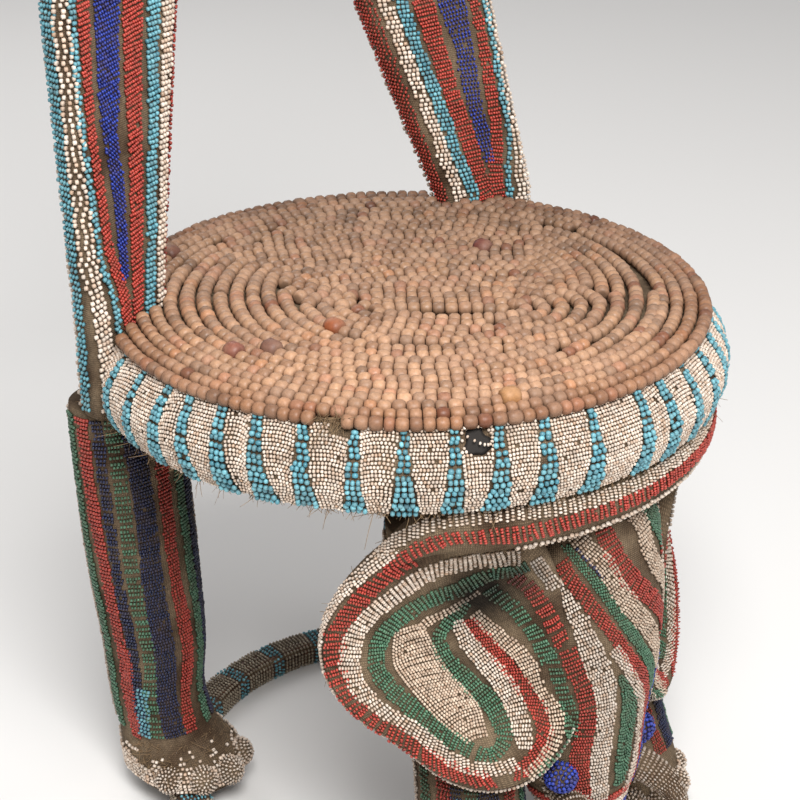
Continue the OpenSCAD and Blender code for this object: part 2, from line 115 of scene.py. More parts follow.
tree.links.new(fuzz.outputs[0], shader.inputs["Normal"])

# Old opaque glass, moulded into small beads and rubbed dull by handling: small soft
# highlights. Each bead carries its own colour, with painted shade near the cloth and at its ends.
old_glass, tree, shader = finish_called("old_opaque_glass", Roughness=0.36, IOR=1.5)
own = add_node(tree, "Attribute", {"attribute_name": "bead_colour_and_shade"})
place = add_node(tree, "TexCoord")
grime = add_node(tree, "TexNoise", Vector=place.outputs["Object"], Scale=1 / (9 * MM), Detail=4.0)
thick = add_node(tree, "MapRange", Value=grime.outputs["Fac"], From_Min=0.45, From_Max=0.8, To_Min=0.0,
                 To_Max=0.45)
soiled = add_node(tree, "Mix", {"data_type": "RGBA"}, Factor=thick.outputs[0], n6=own.outputs["Color"],
                  n7=linear("#5b4633"))
tree.links.new(soiled.outputs[2], shader.inputs["Base Color"])
dull = add_node(tree, "MapRange", Value=grime.outputs["Fac"], From_Min=0.3, From_Max=0.75, To_Min=0.26,
                To_Max=0.6)
tree.links.new(dull.outputs[0], shader.inputs["Roughness"])


def every_pair(first, second):
    """Each value of the first with each of the second, as two flat arrays; the first changes fastest."""
    return [grid.ravel() for grid in np.meshgrid(first, second)]


def tube_faces(rings, sides):
    """Triangles of a closed tube whose corners run ring after ring, then the middles of its two ends."""
    j, i = every_pair(np.arange(sides), np.arange(rings - 1))
    k = (j + 1) % sides
    a, b, c, d = i * sides + j, i * sides + k, (i + 1) * sides + k, (i + 1) * sides + j
    j = np.arange(sides)
    k = (j + 1) % sides
    top = (rings - 1) * sides
    return np.concatenate([
        np.stack([a, b, c], 1),
        np.stack([a, c, d], 1),
        np.stack([k, j, np.full(sides, top + sides)], 1),
        np.stack([j + top, k + top, np.full(sides, top + sides + 1)], 1)
    ])


def put_mesh(name, points, faces, finish, stands_for=()):
    """A piece from arrays of points, in millimetres, and of triangles. It rides on the throne's one body."""
    mesh = bpy.data.meshes.new(name)
    mesh.vertices.add(len(points))
    mesh.vertices.foreach_set("co", (points * MM).astype(np.float32).ravel())
    mesh.loops.add(faces.size)
    mesh.loops.foreach_set("vertex_index", faces.astype(np.int32).ravel())
    mesh.polygons.add(len(faces))
    mesh.polygons.foreach_set("loop_start", np.arange(0, faces.size, 3, dtype=np.int32))
    mesh.update(calc_edges=True)
    mesh.validate()
    mesh.shade_smooth()
    mesh.materials.append(finish)
    piece = bpy.data.objects.new(name, mesh)
    bpy.context.scene.collection.objects.link(piece)
    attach(piece, "root")
    if stands_for:
        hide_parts(*stands_for)
    return piece


def put_cloth(name, chart, across, along, stands_for=(), finish=cover_cloth):
    """A closed skin over a chart: across goes once round it, along from end to end. UVs are in metres."""
    s, t = np.meshgrid(across[:-1], along)
    points = chart(s, t)
    ends = points[[0, -1]].mean(1)
    sides, rings = len(across) - 1, len(along)
    faces = tube_faces(rings, sides)
    solid = np.concatenate([points.reshape(-1, 3), ends])
    corner = solid[faces]
    volume = (corner[:, 0] * np.cross(corner[:, 1], corner[:, 2])).sum()
    if volume < 0:
        faces = faces[:, ::-1]
    piece = put_mesh(name, solid, faces, finish, stands_for)
    around = np.linalg.norm(np.diff(chart(*np.meshgrid(across, along)), axis=1), axis=2).sum(1).mean()
    run = np.linalg.norm(np.diff(points, axis=0), axis=2).mean(1)
    rise = np.concatenate([[0], np.cumsum(run)])
    column, row = faces % sides, faces // sides
    column = np.where((column == 0) & (column.max(1, keepdims=True) == sides - 1), sides, column)
    row = np.clip(row, 0, rings - 1)
    uv = np.stack([column / sides * around, rise[row]], -1) * MM
    piece.data.uv_layers.new(name="cloth").data.foreach_set("uv", uv.astype(np.float32).ravel())
    return piece


def bead_form(profile, sides):
    """A bead turned about its hole: rings at (place along the hole, radius), and a point closing each end."""
    profile = np.array(profile)
    turn = np.arange(sides) / sides * 2 * np.pi
    rings = np.stack([
        np.repeat(profile[:, 0], sides),
        np.outer(profile[:, 1], np.cos(turn)).ravel(),
        np.outer(profile[:, 1], np.sin(turn)).ravel()
    ], 1)
    tips = np.array([[-0.47, 0, 0], [0.47, 0, 0]])
    return np.concatenate([rings, tips]), tube_faces(len(profile), sides)


# Beads seen closely have 36 triangles, plainer ones 24, and the smallest and least seen ones 12
seed_form = bead_form([(-0.3, 0.46), (0.3, 0.46)], 6)
round_form = bead_form([(-0.36, 0.36), (0, 0.5), (0.36, 0.36)], 6)
far_form = bead_form([(0, 0.5)], 6)

# Each glass as new and as worn
glass = {
    "white": ("#f0e1d1", "#c2a083"), "cream": ("#e6d0b9", "#b29278"), "turquoise": ("#7ab7c2", "#417f8f"),
    "red": ("#c64a3b", "#8f2c24"), "green": ("#5e8a6c", "#33593f"), "blue": ("#3049b4", "#181f63"),
    "dark blue": ("#2a3258", "#141a33"), "grey": ("#b3a58f", "#7d6f5b")
}


def unit(v):
    """Vectors of length 1 in the same directions."""
    return v / np.maximum(np.linalg.norm(v, axis=-1, keepdims=True), 1e-9)


def sew(chart, start, end, bead, colour, bow=0.0, lift=0.35, loss=0.01):
    """Beads of straight strings sewn down on a chart from each start to its end.

    bead is (length along the hole, width) in millimetres. A string of length n holds about
    n / length beads, evenly spread, and bows sideways by bow chart units in its middle.
    Gives one row for each bead: its middle, string direction, outward direction, size, colour.
    """
    start, end = (np.atleast_2d(np.asarray(p, float)) for p in (start, end))
    bow = np.broadcast_to(bow, len(start))
    reach = np.linalg.norm(chart(*end.T) - chart(*start.T), axis=1)
    count = np.maximum(np.round(reach / bead[0]), 1)
    string, k = np.nonzero(np.arange(int(count.max()))[None] < count[:, None])
    kept = chance.random(len(string)) >= loss
    string, k = string[kept], k[kept]
    run = (end - start)[string]
    way = np.stack([-run[:, 1], run[:, 0]], 1) / np.maximum(np.hypot(*run.T), 1e-6)[:, None]

    def at(part):
        return start[string] + run * part[:, None] + way * (4 * bow[string] * part * (1 - part))[:, None]

    part = (k + 0.5) / count[string]
    step = 0.4 / count[string]
    a, b = at(part).T
    along = unit(chart(*at(part + step).T) - chart(*at(part - step).T))
    out = unit(np.cross(chart(a + 1, b) - chart(a - 1, b), chart(a, b + 1) - chart(a, b - 1)))
    width = bead[1] * chance.normal(1, 0.06, len(a))
    length = np.clip(reach[string] / count[string] * 0.98, 0.6 * bead[0], 1.35 * bead[0])
    size = np.stack([length, width, width * chance.normal(0.95, 0.04, len(a))], 1)
    middle = chart(a, b) + out * (lift * width)[:, None] + chance.normal(0, 0.1, (len(a), 3))
    new, worn = (np.array(linear(code)[:3]) for code in glass[colour])
    wear = chance.beta(1.2, 2.2, len(a))[:, None]
    tint = (new * (1 - wear) + worn * wear) * chance.normal(1, 0.08, (len(a), 1))
    return np.concatenate([middle, along, out, size, tint], 1)


def curve(at, knots, values):
    """Smooth curve through the values at the knots: cubic pieces, with slopes from the neighbouring knots."""
    knots, values = np.asarray(knots, float), np.asarray(values, float)
    slopes = np.gradient(values, knots, axis=0)
    i = np.clip(np.searchsorted(knots, at) - 1, 0, len(knots) - 2)
    width = knots[i + 1] - knots[i]
    t = np.clip((at - knots[i]) / width, 0, 1)
    if values.ndim > 1:
        t, width = t[..., None], width[..., None]
    return (values[i] * (1 + 2 * t) * (1 - t) ** 2 + values[i + 1] * t * t * (3 - 2 * t)
            + width * (slopes[i] * t * (1 - t) ** 2 + slopes[i + 1] * t * t * (t - 1)))


def band(chart, path, width, bead, colour, pitch=1.08, slant=0.0, bow=0.0, stray=0.25, **more):
    """Short strings laid side by side across a path, as the bands of the beadwork are sewn.

    path is a list of chart places, smoothed to a curve; width, in millimetres, is a number or
    a list along it. Strings follow each other every pitch bead widths, turned by slant degrees.
    """
    path = np.asarray(path, float)
    knots = np.linspace(0, 1, len(path))
    fine = np.linspace(0, 1, 400)
    places = curve(fine, knots, path)
    steps = np.linalg.norm(np.diff(chart(*places.T), axis=0), axis=1)
    gone = np.concatenate([[0], np.cumsum(steps)])
    count = max(int(gone[-1] / (bead[1] * pitch)), 1)
    loose = chance.normal(0, 0.4 * np.clip(pitch - 1.05, 0, 0.4), count)
    part = np.interp((np.arange(count) + 0.5 + loose) / count * gone[-1], gone, fine)
    a, b = curve(part, knots, path).T
    ahead = curve(np.minimum(part + 0.01, 1), knots, path) - curve(np.maximum(part - 0.01, 0), knots, path)
    scale = np.stack([
        np.linalg.norm(chart(a + 1, b) - chart(a - 1, b), axis=1),
        np.linalg.norm(chart(a, b + 1) - chart(a, b - 1), axis=1)
    ], 1) / 2
    ahead = unit(ahead * scale)
    turn = np.radians(90 + slant + chance.normal(0, 2.5, count))
    across = np.stack([ahead[:, 0] * np.cos(turn) - ahead[:, 1] * np.sin(turn),
                       ahead[:, 0] * np.sin(turn) + ahead[:, 1] * np.cos(turn)], 1) / scale
    half = np.interp(part, np.linspace(0, 1, np.size(width)), np.atleast_1d(width)) / 2
    half = half / np.cos(np.radians(slant))
    shift = chance.normal(0, stray, (2, count, 1)) * bead[0]
    middle = np.stack([a, b], 1)
    return sew(chart, middle - across * (half[:, None] + shift[0]),
               middle + across * (half[:, None] + shift[1]), bead, colour, bow, **more)


def put_beads(name, rows, form=seed_form, finish=old_glass, stands_for=()):
    """One mesh for many beads: copies of a form, each turned to its string, with painted shade towards the
    cloth and at its ends.
    """
    rows = np.concatenate(rows) if isinstance(rows, list) else rows
    shape, faces = form
    middle, along, out, size, tint = (rows[:, i:i + 3] for i in range(0, 15, 3))
    side = unit(np.cross(out, along))
    out = np.cross(along, side)
    axes = np.stack([along * size[:, :1], side * size[:, 1:2], out * size[:, 2:]], 1)
    points = middle[:, None] + shape[None] @ axes
    corners = faces[None] + (np.arange(len(rows)) * len(shape))[:, None, None]
    piece = put_mesh(name, points.reshape(-1, 3), corners.reshape(-1, 3), finish, stands_for)
    # Painted shade: each bead is darker on its side towards the cloth and at its ends, where it meets the
    # next
    ends = np.abs(shape[:, 0])
    height = np.clip((shape[:, 2] + 0.5) / 0.75, 0, 1)
    shade = 0.5 + 0.5 * height - 0.12 * (ends > 0.34) - 0.25 * (ends > 0.45)
    colours = np.ones((len(rows), len(shape), 4), np.float32)
    colours[..., :3] = np.clip(tint[:, None] * shade[None, :, None], 0, 1)
    bead_colour_and_shade = piece.data.attributes.new("bead_colour_and_shade", "FLOAT_COLOR", "POINT")
    bead_colour_and_shade.data.foreach_set("color", colours.ravel())
    return piece


def power(value, exponent):
    """The value raised to the exponent, with its sign kept."""
    return np.sign(value) * np.abs(value) ** exponent


def oblong(squareness, wide, deep):
    """Walk round a rounded oblong at an even pace: 0 to 360 gives places from -1 to 1, from the front.

    x = cos(turn) and y = sin(turn), each raised to the squareness with its sign kept.
    """
    turn = np.linspace(-np.pi / 2, 3 * np.pi / 2, 4001)
    x, y = power(np.cos(turn), squareness), power(np.sin(turn), squareness)
    gone = np.concatenate([[0], np.cumsum(np.hypot(np.diff(x) * wide, np.diff(y) * deep))])
    return lambda s: (np.interp(s % 360, gone / gone[-1] * 360, x),
                      np.interp(s % 360, gone / gone[-1] * 360, y))


ring_r = 190
ring_half_w = 13
ring_half_t = node_mm("base_ring")[1][2] / 2
ring_section = oblong(0.45, ring_half_w, ring_half_t)


def ring_chart(s, angle):
    """Round the section from underneath, and round the ring in degrees."""
    x, y = ring_section(s)
    r = ring_r + ring_half_w * x
    a = np.radians(-angle)
    return np.stack([r * np.cos(a), r * np.sin(a), ring_half_t + ring_half_t * y], -1)


put_cloth("ring_cloth", ring_chart, np.linspace(0, 360, 29), np.linspace(0, 360, 145))
# Degrees from one binding to the next, and half a binding; binding strings are six to a round
bundle = 14.4
tie_half = 2.2
bundle_from = np.arange(0, 360, bundle)
lines = np.linspace(48, 312, 20)
angle, line = every_pair(bundle_from, lines)
rows = sew(ring_chart, np.stack([line, angle + tie_half], 1), np.stack([line, angle + bundle - tie_half], 1),
           (3.4, 3.3), "grey")
put_beads("ring_pale_beads", rows, far_form)
rows = [band(ring_chart, [(s, a - 2), (s, a + 2)], 56 / 6, (3.3, 3.4), "turquoise")
        for a in bundle_from for s in (70, 114, 158, 202, 246, 290)]
put_beads("ring_turquoise_bands", rows, far_form)


# Legs
# Four round legs like posts, each sewn into cloth. Columns of short strings run down
# them in blue, red and green, and white beads cover the flared feet round the toenails.
def limb(rows, squareness=0.86):
    """Chart of an upright limb from rows of (height, x, y, half width in x, in y): angle in degrees, height.

    x = middle + half width times cos(angle), and y with sin, each raised to the squareness.
    """
    rows = np.array(rows, float)

    def chart(angle, z):
        x, y, wide, deep = np.moveaxis(curve(z, rows[:, 0], rows[:, 1:]), -1, 0)
        a = np.radians(angle)
        return np.stack([x + wide * power(np.cos(a), squareness), y + deep * power(np.sin(a), squareness),
                         z + 0 * angle], -1)

    def holds(p, margin=0.0):
        """Whether points lie inside the limb, made wider by the margin."""
        x, y, wide, deep = np.moveaxis(curve(p[:, 2], rows[:, 0], rows[:, 1:]), -1, 0)
        level = (np.abs((p[:, 0] - x) / (wide + margin)) ** (2 / squareness)
                 + np.abs((p[:, 1] - y) / (deep + margin)) ** (2 / squareness))
        return (level < 1) & (p[:, 2] > rows[0, 0]) & (p[:, 2] < rows[-1, 0])

    return chart, holds


def mirrored(rows):
    """The same beads on the elephant's other side."""
    flip = np.ones(rows.shape[1])
    flip[[0, 3, 6]] = -1
    return rows * flip


def right_side(chart):
    """The same chart on the elephant's other side."""
    return lambda a, b: chart(a, b) * [-1, 1, 1]


board_z = node_mm("seat_board")[0][2]
ring_t = 2 * ring_half_t
body_low, body_high = node_mm("body")
body_mid_y = (body_low[1] + body_high[1]) / 2
body_half_l = 165
body_half_w = body_high[0]
body_depth = body_high[2] - body_low[2]


def up(share):
    """Height at a share of the way from the ring up to the seat board."""
    return ring_t + (board_z - ring_t) * share


def in_body(p, margin=0.0):
    """Whether points lie inside the body's barrel, made wider by the margin."""
    along = np.clip((p[:, 1] - body_mid_y) / body_half_l, -0.999, 0.999)
    size = (1 - along ** 2) ** 0.36
    level = (np.abs(p[:, 0] / (body_half_w * size + margin)) ** (2 / 0.86)
             + np.abs((p[:, 2] - board_z) / (body_depth * size + margin)) ** (2 / 0.86))
    return (level < 1) & (np.abs(along) < 0.99)


front_x, front_y = -85.9, -153.6
front_leg, in_front_leg = limb([
    (20, front_x - 2, front_y - 10, 42, 46), (46, front_x - 1, front_y - 6, 43, 46),
    (80, front_x, front_y, 38, 40), (up(0.34), front_x + 8, front_y + 14, 38, 40),
    (up(0.48), front_x + 16, front_y + 30, 40, 42), (up(0.64), front_x + 22, front_y + 44, 44, 46),
    (up(0.8), front_x + 26, front_y + 52, 44, 46)
])
hind_x, hind_y = -152.3, 137.2


def hind_limb(top_x, top_y, top_half):
    """Chart of a hind leg in the left half that rises to an upright's foot."""
    across, deep = top_x - hind_x, top_y - hind_y
    return limb([
        (20, hind_x + 3, hind_y - 22, 43, 52), (38, hind_x + 2, hind_y - 19, 43, 50),
        (58, hind_x - 2, hind_y - 8, 37, 40), (86, hind_x - 6, hind_y - 3, 35, 37),
        (up(0.34), hind_x + 0.25 * across, hind_y + 0.2 * deep, 38, 39),
        (up(0.55), hind_x + 0.55 * across, hind_y + 0.5 * deep, 42, 38),
        (up(0.8), hind_x + 0.85 * across, hind_y + 0.8 * deep, 44, 34), (board_z, top_x, top_y, top_half, 30)
    ])


hind_leg_left, in_hind_leg_left = hind_limb(-182, 121.8, 46)
hind_leg_right, in_hind_leg_right = hind_limb(-202.5, 114.05, 35.5)
# Columns: angles from the top to the foot, colour, width, bead, spacing
columns = [
    ((-150, -152, -154, -154, -156), "dark blue", 9, (2.4, 2.8), 1.3),
    ((-131, -132, -135, -134, -140), "green", 11, (2.4, 2.8), 1.55),
    ((-111, -109, -113, -114, -115), "dark blue", 17, (2.3, 2.8), 1.06),
    ((-86, -87, -89, -86, -94), "red", 12, (2.2, 2.7), 1.12),
    ((-66, -68, -68, -64, -64), "green", 9, (2.3, 2.8), 1.1),
    ((-47, -50, -50, -46, -40), "dark blue", 13, (2.9, 3.0), 1.1),
    ((-22, -24, -26, -22, -14), "white", 11, (2.9, 3.0), 1.2),
    ((4, 4, 2, 4, 8), "red", 13, (2.9, 3.0), 1.15),
    ((30, 30, 28, 28, 30), "turquoise", 12, (3.3, 3.4), 1.1),
    ((58, 58, 56, 56, 54), "dark blue", 14, (2.9, 3.0), 1.1),
    ((84, 84, 84, 84, 80), "green", 12, (2.9, 3.0), 1.2),
    ((110, 110, 112, 112, 108), "red", 13, (2.9, 3.0), 1.15),
    ((138, 138, 140, 140, 136), "white", 11, (2.9, 3.0), 1.15),
    ((164, 164, 168, 168, 166), "green", 11, (2.9, 2.9), 1.25),
    ((188, 188, 190, 190, 192), "red", 12, (2.9, 3.0), 1.15)
]


def leg_beads(chart, top, low=64):
    """Bands of level strings that follow the columns down one leg."""
    heights = np.linspace(top, low, 5)
    rows = [band(chart, list(zip(angles, heights)), width, bead, colour, pitch=pitch, slant=3)
            for angles, colour, width, bead, pitch in columns]
    rows.append(band(chart, [(-146, 112), (-150, 90), (-158, 64)], 11, (3.1, 3.2), "turquoise"))
    rows.append(band(chart, [(-164, 150), (-166, 110), (-172, 60)], 10, (2.3, 2.8), "red", pitch=1.15))
    rows = np.concatenate(rows)
    # Painted shade: the legs stand in the seat's shadow, so their beads are darkened
    rows[:, 12:] *= 0.78
    return rows


def foot_beads(chart, low=24, high=54):
    """Level strings of white beads in rounded patches round the foot, with bare cloth between them."""
    turn, z = every_pair(np.arange(0, 360, 4.6), np.arange(low, high, 3.1))
    z = z + chance.normal(0, 0.3, len(z))
    arch = high - 4 - 13 * np.abs(np.sin(np.radians((turn + 150) * 180 / 35)))
    kept = (z < arch) | (chance.random(len(z)) < 0.12)
    start = np.stack([turn, z], 1)[kept]
    return sew(chart, start, start + [4.4, 0], (3.1, 3.1), "white", loss=0.03)


turn_steps = np.linspace(0, 360, 49)


def put_leg(name, side, chart, cloth_top, steps, beads_top, form):
    """Cloth and beads of one leg. Charts are of the left half, and the right legs are their mirror images."""
    rows = np.concatenate([leg_beads(chart, beads_top), foot_beads(chart)])
    rows = rows[~in_body(rows[:, :3], 1)]
    if side == "right":
        chart, rows = right_side(chart), mirrored(rows)
    put_cloth(name + "_cloth_" + side, chart, turn_steps, np.linspace(ring_t, cloth_top, steps),
              (name + "_" + side,))
    put_beads(name + "_beads_" + side, rows, form)


put_leg("front_leg", "left", front_leg, 300, 40, 292, far_form)
put_leg("front_leg", "right", front_leg, 300, 40, 292, far_form)
put_leg("hind_leg", "left", hind_leg_left, board_z, 48, board_z - 5, seed_form)
put_leg("hind_leg", "right", hind_leg_right, board_z, 48, board_z - 5, far_form)


# Body
# A barrel of wood under cloth, with its flat top against the seat board. Bands of
# strings run from chest to rump round its belly.
def body_chart(turn, y):
    """Round the belly from the elephant's right, 180, to its left, 360, and from chest to rump."""
    size = np.sqrt(np.maximum(1 - ((y - body_mid_y) / body_half_l) ** 2, 1e-6)) ** 0.72
    b = np.radians(turn)
    return np.stack([-body_half_w * size * power(np.cos(b), 0.86), y + 0 * turn,
                     board_z - 0.2 + body_depth * size * power(np.sin(b), 0.86)], -1)


put_cloth("body_cloth", body_chart, np.concatenate([np.linspace(180, 360, 41), [180]]),
          body_mid_y + body_half_l * np.sin(np.radians(np.linspace(-84, 84, 36))), ("body",))
belly = ["white", "red", "green", "white", "dark blue", "red", "turquoise", "red", "dark blue", "white",
         "green", "red", "white"]
rows = np.concatenate([
    band(body_chart, [(turn, -140), (turn, 8), (turn, 156)], [6, 15, 17, 15, 6], (3.4, 3.4), colour,
         pitch=1.1)
    for turn, colour in zip(np.linspace(188, 352, len(belly)), belly)
])
for holds in (in_front_leg, in_hind_leg_left, in_hind_leg_right):
    rows = rows[~holds(rows[:, :3]) & ~holds(rows[:, :3] * [-1, 1, 1])]
put_beads("body_beads", rows, far_form)

# Head and trunk
# One carved form under cloth. Bands of strings cross the brow on the slant and run down
# to the trunk, which hangs to the ring and is wrapped with rings of beads.
head_y = -170
trunk_y = -192
mouth_z = up(0.215)
trunk_rows = [(ring_t, 0, trunk_y, 25, 23), (up(0.04), 0, trunk_y - 2, 27, 25), (up(0.1), 0, trunk_y, 31, 29),
              (up(0.16), 0, trunk_y + 6, 38, 37)]
head_rows = [
    (mouth_z, 0, head_y - 12, 45, 46), (up(0.355), 0, head_y - 7, 53, 54), (up(0.48), 0, head_y - 2, 63, 64),
    (up(0.6), 0, head_y, 69, 66), (up(0.74), 0, head_y + 2, 69, 63), (up(0.89), 0, head_y + 5, 63, 57),
    (board_z - 2, 0, head_y + 8, 56, 48)
]
face, in_face = limb(trunk_rows + head_rows, 0.9)
put_cloth("head_cloth", face, turn_steps, np.linspace(mouth_z, board_z - 2, 44), ("head",))
put_cloth("trunk_cloth", face, turn_steps, np.linspace(ring_t, mouth_z, 16), ("trunk",))
# Pale seeds are wider than long and lie close; the red and green ones are smaller and lie apart
pale = (2.2, 2.9)
small = (2.0, 2.5)
# Bands of the left half and middle: angle and height along each, from the brow downwards
rows = [
    band(face, [(-152, 240), (-146, 210), (-142, 191), (-138, 172), (-141, 152)], 11, small, "green",
         pitch=1.6),
    band(face, [(-139, 236), (-134, 217), (-128, 196), (-126, 174), (-130, 151)], 14, small, "red", pitch=1.4,
         slant=8),
    band(face, [(-130, 151), (-134, 130), (-133, 108), (-131, 84)], 15, small, "red", pitch=1.12, slant=10),
    band(face, [(-146, 290), (-138, 275), (-130, 258), (-126, 243), (-121, 225), (-115, 204), (-113, 182),
                (-112, 159), (-114, 138), (-116, 117), (-113, 88)],
         [10, 12, 13, 16, 19, 20, 17, 16, 17, 16, 15], pale, "white"),
    band(face, [(-108, 231), (-98, 211), (-86, 183), (-76, 158), (-72, 134), (-75, 108), (-80, 84)], 9.5,
         pale, "white"),
    band(face, [(-104, 208), (-96, 186), (-92, 168), (-90, 148), (-91, 126), (-93, 100)],
         [4, 12, 18, 22, 21, 11], (2.1, 2.6), "green", bow=-3),
    band(face, [(-141, 306), (-138, 296), (-128, 280), (-117, 260), (-106, 240), (-94, 215), (-79, 184),
                (-67, 157), (-63, 132), (-66, 106), (-70, 84)],
         11, small, "red", pitch=1.3, slant=26),
    band(face, [(-140, 318), (-127, 300), (-116, 283), (-106, 262), (-96, 241), (-86, 219), (-71, 192),
                (-60, 168)],
         [6, 7, 8, 8, 9, 9, 10, 10], (1.9, 2.3), "green", pitch=1.2, slant=-34),
    band(face, [(-132, 316), (-112, 288)], 4, (2.6, 2.9), "dark blue", pitch=1.3),
    band(face, [(-135, 328), (-126, 317), (-112, 299), (-104, 279), (-92, 254), (-80, 232), (-66, 207),
                (-57, 188)],
         [12, 14, 15, 16, 16, 16, 14, 10], pale, "cream", pitch=1.12),
    band(face, [(-112, 326), (-107, 312), (-101, 296), (-90, 274), (-76, 255), (-60, 234), (-48, 214)],
         [14, 17, 18, 17, 15, 13, 11], small, "red", pitch=1.35, slant=-8),
    band(face, [(-90, 334), (-81, 317), (-78, 298), (-68, 277), (-54, 258), (-42, 240)], 16, pale, "cream",
         pitch=1.15),
    band(face, [(-74, 334), (-64, 316), (-54, 300), (-42, 284), (-34, 268)], 19, small, "green", pitch=1.25),
    band(face, [(-52, 196), (-52, 168), (-53, 138), (-58, 110), (-62, 86)], 6.5, (3.3, 3.5), "blue"),
    band(face, [(-172, 97), (-150, 97), (-120, 98)], 3.2, (3.0, 3.1), "white"),
    band(face, [(-172, 91), (-150, 91), (-124, 92)], 3.2, (3.0, 3.1), "cream"),
    band(face, [(-168, 190), (-166, 140), (-164, 104)], 13, pale, "white", pitch=1.15),
    band(face, [(170, 170), (172, 130), (174, 100)], 12, small, "green", pitch=1.3)
]
rows = np.concatenate(rows)
# The right half repeats the left one's outer bands
far_half = mirrored(rows)
turn = np.degrees(np.arctan2(far_half[:, 1] - (head_y - 4), far_half[:, 0]))
rows = np.concatenate([rows, far_half[(turn > -45) & (turn < 100)]])
rows = rows[~in_front_leg(rows[:, :3]) & ~in_front_leg(rows[:, :3] * [-1, 1, 1]) & ~in_body(rows[:, :3])]
# Painted shade: the beads under the seat are darkened
rows[:, 12:] *= 0.8
put_beads("head_beads", rows, round_form)
rows = []
for place, z in enumerate(np.arange(26, 88, 8.6)):
    colour = ("white", "red", "white", "green", "white", "blue", "white", "red")[place % 8]
    rows.append(band(face, [(-195, z), (-135, z), (-90, z), (-45, z), (15, z)], 8, (2.6, 2.9), colour,
                     stray=0.1))
put_beads("trunk_beads", rows, seed_form)

# Brow fold
# A stuffed roll of cloth from ear to ear under the seat's edge, bent down at both ends.
# Short white strings stand along its top, longer red ones cross it on the slant.
brow_r = 237
brow_half_h = 19.5
brow_half_depth = 17
brow_half_angle = 55
brow_level = 35


def brow_chart(angle, turn):
    """Along the roll in degrees from the front's middle, and round its section, an ellipse made squarer.

    Past the level part it sinks with the square of the angle and gets thinner.
    """
    bend = np.maximum(np.abs(angle) - brow_level, 0)
    share = bend / (brow_half_angle - brow_level)
    end = np.sqrt(np.maximum(1 - (angle / brow_half_angle) ** 12, 0))
    size = (1 - 0.38 * share) * np.maximum(end, 0.4)
    t, a = np.radians(turn), np.radians(angle - 90)
    r = brow_r - 15 * share - brow_half_depth * (1 - size * power(np.cos(t), 0.84))
    z = board_z - 0.3 - brow_half_h - 0.14 * bend ** 2 + brow_half_h * size * power(np.sin(t), 0.84)
    return np.stack([r * np.cos(a), r * np.sin(a), z], -1)


def both_ways(path):
    """A path from the left end to the middle, and on to the right end as its mirror image."""
    left = np.array(path, float)
    return np.concatenate([left, left[-2::-1] * [-1, 1]])


put_cloth("brow_cloth", lambda t, a: brow_chart(a, -t), np.linspace(0, 360, 25),
          np.linspace(-brow_half_angle, brow_half_angle, 61), ("brow_fold",))
rows = [
    band(brow_chart, both_ways([(-53, 60), (-49, 52), (-45, 42), (-39, 38), (-32, 40), (-23, 33), (-12, 27),
                                (0, 26)]),
         10, (2.0, 3.0), "white", pitch=1.3),
    band(brow_chart, both_ways([(-51, -38), (-48, -28), (-45, -15), (-42, -8), (-38, -1), (-32, -2),
                                (-27, -7), (-21, -5), (-15, -2), (-6, -2), (0, -2)]),
         13, (2.0, 2.7), "red", pitch=1.5, slant=14),
    band(brow_chart, both_ways([(-27, -52), (-20, -48), (-14, -45), (0, -43)]), 6.5, (3.0, 3.3), "white",
         pitch=1.35)
]
put_beads("brow_beads", rows, round_form)

# Ears
# Cupped leaves of wood under cloth. Bands of radial strings follow the edge, white, red,
# white and green from the rim inwards, round a close grid of cream beads in the hollow.
ear_r = 220
ear_angle = 234.5
ear_z = up(0.605)
ear_tilt = -55
ear_dip = (6, -12)


def ear_outline(angle):
    """Distance of the edge from the ear's middle: a tilted oval, fuller at the lower front and the top."""
    a = np.radians(angle)
    long_way = a - np.radians(ear_tilt)
    return (101 + 14.5 * np.cos(2 * long_way) + 5 * np.cos(a - np.radians(45)) + 9 * np.cos(3 * long_way)
            + 14 * np.maximum(np.cos(a - np.radians(80)), 0) ** 3)


# Share of the outline and depth behind the ear's outer face, from the hollow over the rim to the back
ear_walk = [0, 22, 45, 64, 78, 90, 97, 100, 104, 113, 135, 162, 185, 200]
ear_part = [0, 0.22, 0.45, 0.64, 0.78, 0.9, 0.97, 1, 0.97, 0.88, 0.66, 0.4, 0.18, 0]
ear_deep = [26, 26, 23.9, 15.6, 5.7, 0.4, 1.4, 11, 19.8, 23.8, 33, 41.8, 45.1, 46]


def ear_chart(walk, angle):
    """From the hollow's middle, 0, over the rim, 100, to the back's middle, 200; and degrees round it."""
    part = curve(walk, ear_walk, ear_part)
    r = ear_r - curve(walk, ear_walk, ear_deep)
    a = np.radians(angle)
    u = ear_outline(angle) * part * np.cos(a) + (1 - part) * ear_dip[0]
    v = ear_outline(angle) * part * np.sin(a) + (1 - part) * ear_dip[1]
    turn = np.radians(ear_angle) + u / ear_r
    return np.stack([r * np.cos(turn), r * np.sin(turn), ear_z + v], -1)


outline_a = np.linspace(0, 360, 721)
outline_u = ear_outline(outline_a) * np.cos(np.radians(outline_a)) - ear_dip[0]
outline_v = ear_outline(outline_a) * np.sin(np.radians(outline_a)) - ear_dip[1]
outline_way = np.degrees(np.unwrap(np.arctan2(outline_v, outline_u)))
outline_far = np.hypot(outline_u, outline_v)


def ear_flat(u, v):
    """The ear's front by flat millimetres: u towards the head and v upwards from the ear's middle."""
    u, v = u - ear_dip[0], v - ear_dip[1]
    way = (np.degrees(np.arctan2(v, u)) - outline_way[0]) % 360 + outline_way[0]
    part = np.hypot(u, v) / np.interp(way, outline_way, outline_far)
    return ear_chart(100 * part, np.interp(way, outline_way, outline_a))


